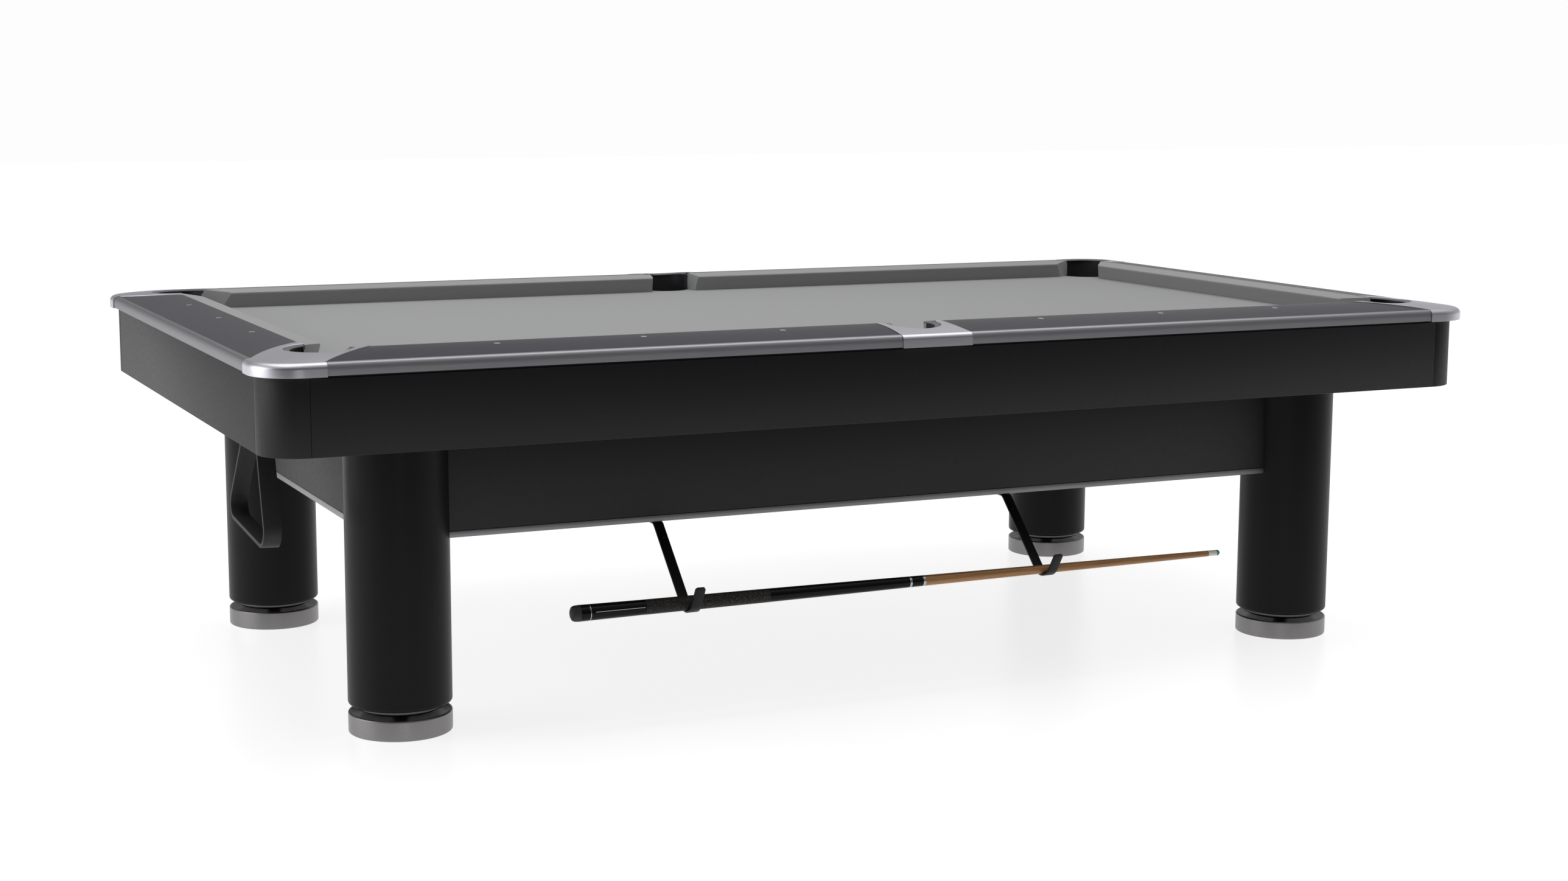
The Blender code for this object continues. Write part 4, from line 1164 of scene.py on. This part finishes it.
def cloth_look():
    look = Look("cloth", (0.318, 0.319, 0.321), 0.95, specular=0.1)
    look.set("Sheen Weight", 0.10)
    look.shade(look.noise(700, detail=2), 0.07)
    look.bump(look.noise(1400, detail=2), 0.00012, 0.5)
    look.bump(look.noise(30), 0.0002, 0.12)
    return look.material


def grained_look(name, colour, roughness, metallic, specular, shade, gloss, bump):
    """An even finish. Shade, gloss and bump each hold the grains to the metre, then what they do."""
    look = Look(name, colour, roughness, metallic, specular)
    look.shade(look.noise(shade[0], detail=2), *shade[1:])
    look.gloss(look.noise(gloss[0], detail=2), *gloss[1:])
    look.bump(look.noise(bump[0], detail=2), *bump[1:])
    return look.material


def brushed_look(name, along, colour):
    """Metal brushed along one axis, 0 for X and 1 for Y."""
    stretch = [1.0, 1.0, 1.0]
    stretch[along] = 0.006
    look = Look(name, colour, 0.38, metallic=1)
    lines = look.noise(1500, stretch, 4, 0.6)
    look.shade(lines, 0.06)
    look.gloss(lines, 0.42, 0.50)
    look.bump(lines, 0.00004, 0.2)
    return look.material


def speckled_look(name, colour, roughness, metallic, specular, grain, amount, depth):
    """The usual finish, with one grain for its colour, gloss and surface."""
    gloss = (grain / 3, roughness * 0.95, roughness * 1.05)
    bump = (grain * 1.6, depth, 0.4)
    return grained_look(name, colour, roughness, metallic, specular, (grain, amount), gloss, bump)


def slate_look():
    look = Look("slate_stone", (0.10, 0.11, 0.12), 0.75)
    look.shade(look.noise(30, (1, 1, 6), 6), 0.3)
    look.bump(look.noise(200, detail=5), 0.0003, 0.6)
    return look.material


def wood_look():
    """Turned wood with its grain along X."""
    dark, light = (0.20, 0.088, 0.024), (0.36, 0.175, 0.058)
    look = Look("cue_shaft", light, 0.35)
    look.tint(look.noise(260, (0.02, 1, 1), 5, 0.65), dark, light, 0.35, 0.62)
    look.bump(look.noise(700, (0.05, 1, 1)), 0.00003, 0.3)
    return look.material


def wrap_look():
    """Black linen flecked with brown and grey."""
    look = Look("cue_wrap", (0.02, 0.02, 0.02), 0.6, specular=0.2)
    flecks = look.noise(620, detail=2, roughness=0.7)
    look.tint(flecks, (0.005, 0.005, 0.006), (0.11, 0.09, 0.07), 0.52, 0.70)
    look.bump(look.noise(900, (1.6, 1, 1), 2), 0.00012, 0.6)
    return look.material


# Plain finishes: name, colour, roughness, metallic, specular, grains to the metre, their share of
# the colour, their depth
SPECKLED = (
    ("inlay", (0.62, 0.62, 0.64), 0.35, 1, 0.5, 900, 0.05, 6e-5),
    ("black_board", (0.008, 0.008, 0.0092), 0.50, 0, 0.28, 320, 0.15, 6e-5),
    ("black_satin", (0.0065, 0.0065, 0.0075), 0.40, 0, 0.12, 400, 0.15, 6e-5),
    ("liner_rubber", (0.022, 0.022, 0.025), 0.45, 0, 0.5, 500, 0.2, 6e-5),
    # The lip is the liner's rubber painted lighter grey: a painted sheen.
    ("lip_rubber_painted_sheen", (0.13, 0.13, 0.14), 0.50, 0, 0.3, 700, 0.1, 6e-5),
    ("pewter", (0.235, 0.228, 0.230), 0.38, 1, 0.5, 1300, 0.14, 8e-5),
    ("polished_steel", (0.60, 0.60, 0.63), 0.13, 1, 0.5, 300, 0.03, 1e-5),
    ("black_steel", (0.006, 0.006, 0.007), 0.42, 0, 0.15, 600, 0.15, 6e-5),
    ("black_plastic", (0.020, 0.020, 0.021), 0.60, 0, 0.30, 350, 0.15, 1e-4),
    ("collar_steel", (0.09, 0.09, 0.095), 0.20, 1, 0.5, 300, 0.05, 1e-5),
    ("cue_black", (0.004, 0.004, 0.005), 0.22, 0, 0.12, 500, 0.15, 6e-5),
    ("cue_ring", (0.42, 0.42, 0.43), 0.30, 1, 0.5, 700, 0.05, 6e-5),
    ("cue_rubber", (0.010, 0.010, 0.010), 0.65, 0, 0.5, 500, 0.15, 6e-5),
    ("cue_ferrule", (0.62, 0.60, 0.55), 0.30, 0, 0.5, 400, 0.04, 6e-5),
    ("cue_tip", (0.05, 0.16, 0.20), 0.8, 0, 0.5, 900, 0.15, 6e-5),
)
LOOKS = {row[0]: speckled_look(*row) for row in SPECKLED}
LOOKS["cloth"] = cloth_look()
LOOKS["black_laminate"] = grained_look(
    "black_laminate", (0.033, 0.033, 0.043), 0.36, 0, 0.20, (600, 0.10), (200, 0.345, 0.375), (900, 4e-5, 0.4)
)
LOOKS["satin_casting"] = grained_look(
    "satin_casting", (0.57, 0.57, 0.615), 0.37, 1, 0.5, (500, 0.03), (400, 0.36, 0.39), (1200, 3e-5, 0.3)
)
LOOKS["slate_stone"] = slate_look()
LOOKS["cue_wrap"] = wrap_look()
LOOKS["cue_shaft"] = wood_look()
# One trim metal in two colours: the side trims' copy is painted lighter and the end trims' copy darker, as
# painted light and shade.
LOOKS["trim_x_painted_light"] = brushed_look("brushed_trim_x_painted_light", 0, (0.33, 0.33, 0.35))
LOOKS["trim_y_painted_shade"] = brushed_look("brushed_trim_y_painted_shade", 1, (0.25, 0.25, 0.265))
# One strip metal in two colours: the side strips' copy is painted darker and the end strips' copy lighter, as
# painted shade and light.
LOOKS["strip_x"] = brushed_look("brushed_strip_x_painted_shade", 0, (0.22, 0.22, 0.23))
LOOKS["strip_y"] = brushed_look("brushed_strip_y_painted_light", 1, (0.30, 0.30, 0.31))
LOOKS["cue_wood"] = LOOKS["cue_shaft"]
# The CAD trims take the side trims' painted-light copy.
LOOKS["brushed_trim"] = LOOKS["trim_x_painted_light"]


def dress_cad_nodes():
    """Paints the CAD's own meshes by their material slots."""
    for entry in frame["record"]["subparts"]:
        mesh = frame["nodes"][entry["node"]].data
        mesh.materials.clear()
        mesh.materials.append(LOOKS[entry["material_slot"]])


# --- Camera, light and floor ---


def build_camera():
    camera = linked("camera", bpy.data.cameras.new("camera"))
    camera.data.lens = CAMERA_LENS
    camera.data.sensor_width = CAMERA_SENSOR
    camera.data.clip_end = CAMERA_REACH
    heading = Matrix.Rotation(-CAMERA_YAW, 4, "Z") @ Matrix.Rotation(math.pi / 2 - CAMERA_PITCH, 4, "X")
    turn = heading @ Matrix.Rotation(CAMERA_ROLL, 4, "Z")
    camera.matrix_world = Matrix.Translation(CAMERA_PLACE) @ turn
    bpy.context.scene.camera = camera


def build_world():
    """White to the camera. What lights the table is bright behind and above, and dim in front."""
    world = bpy.data.worlds.new("studio")
    bpy.context.scene.world = world
    bpy.context.scene.view_settings.view_transform = "Standard"
    world.use_nodes = True
    tree = world.node_tree
    nodes, links = tree.nodes, tree.links
    nodes.clear()
    direction = nodes.new("ShaderNodeTexCoord")
    parts = nodes.new("ShaderNodeSeparateXYZ")
    links.new(direction.outputs["Generated"], parts.inputs["Vector"])
    behind = graded(tree, parts.outputs["Y"], (-0.6, 0.6), (0.02, 1.0))
    low = graded(tree, parts.outputs["Z"], (0.05, 0.25), (0.85, 0.30))
    band = combined(tree, "MULTIPLY", behind, low)
    right = graded(tree, parts.outputs["X"], (0.2, 0.9), (0.0, 0.38))
    above = graded(tree, parts.outputs["Z"], (0.4, 0.9), (0.0, 0.7))
    total = combined(tree, "ADD", combined(tree, "ADD", band, right), above)
    fill = nodes.new("ShaderNodeBackground")
    links.new(total, fill.inputs["Strength"])
    seen = nodes.new("ShaderNodeBackground")
    seen.inputs["Color"].default_value = BACKDROP
    mix = nodes.new("ShaderNodeMixShader")
    ray = nodes.new("ShaderNodeLightPath")
    links.new(ray.outputs["Is Camera Ray"], mix.inputs["Fac"])
    links.new(fill.outputs["Background"], mix.inputs[1])
    links.new(seen.outputs["Background"], mix.inputs[2])
    out = nodes.new("ShaderNodeOutputWorld")
    links.new(mix.outputs["Shader"], out.inputs["Surface"])


def combined(tree, operation, first, second):
    """Two values joined by one operation."""
    node = tree.nodes.new("ShaderNodeMath")
    node.operation = operation
    tree.links.new(first, node.inputs[0])
    tree.links.new(second, node.inputs[1])
    return node.outputs["Value"]


def build_lamp(name, place, target, size, watts):
    light = bpy.data.lights.new(name, "AREA")
    light.shape = "RECTANGLE"
    light.size, light.size_y = size
    light.energy = watts
    made = linked(name, light)
    aim = (Vector(target) - Vector(place)).to_track_quat("-Z", "Y").to_matrix().to_4x4()
    made.matrix_world = Matrix.Translation(place) @ aim


def build_floor():
    floor = slab("floor", [rectangle(*FLOOR_LOW, *FLOOR_HIGH)], -FLOOR_THICKNESS, 0)
    floor.data.shade_flat()
    look = Look("floor", (0.38, 0.38, 0.38), 0.30, specular=0.15)
    look.shade(look.noise(2.0, detail=6), 0.05)
    look.set("Emission Color", (1, 1, 1, 1))
    look.set("Emission Strength", 0.79)
    floor.data.materials.append(look.material)


# --- Build ---

build_camera()
build_world()
for row in LAMPS:
    build_lamp(*row)
build_floor()
dress_cad_nodes()

TRIM_LEVELS = face_levels(TRIM_BOTTOM, FACE_EDGE) + crown_levels(TRIM_SHOULDER)
CASTING_FACE = face_levels(CASTING_BOTTOM - CASTING_RISE, FACE_EDGE)
CORNER_LEVELS = CASTING_FACE + crown_levels(CORNER_SHOULDER)
SIDE_LEVELS = CASTING_FACE + crown_levels(SIDE_SHOULDER)
TRIM_CROWN = crown("trim_crown", TRIM_LEVELS, 0, 0)
CLEARANCE_CROWN = crown("trim_clearance", TRIM_LEVELS, GAP, GAP)
CORNER_CROWN = crown("corner_crown", CORNER_LEVELS, CASTING_PROUD, CASTING_RISE)
SIDE_CROWN = crown("side_crown", SIDE_LEVELS, CASTING_PROUD, CASTING_RISE)

build_bed_cloth()
build_rails(TRIM_CROWN)
build_sights(TRIM_LEVELS)
build_cushions()
build_trims(TRIM_CROWN)
build_corner_castings(CORNER_CROWN)
build_side_castings(SIDE_CROWN, CLEARANCE_CROWN)
build_liners()
build_cabinet()
build_legs_and_feet()
build_cue()
build_cue_pale_line()
build_hooks()
build_rack()

for helper in SHAPERS:
    bpy.data.objects.remove(helper, do_unlink=True)
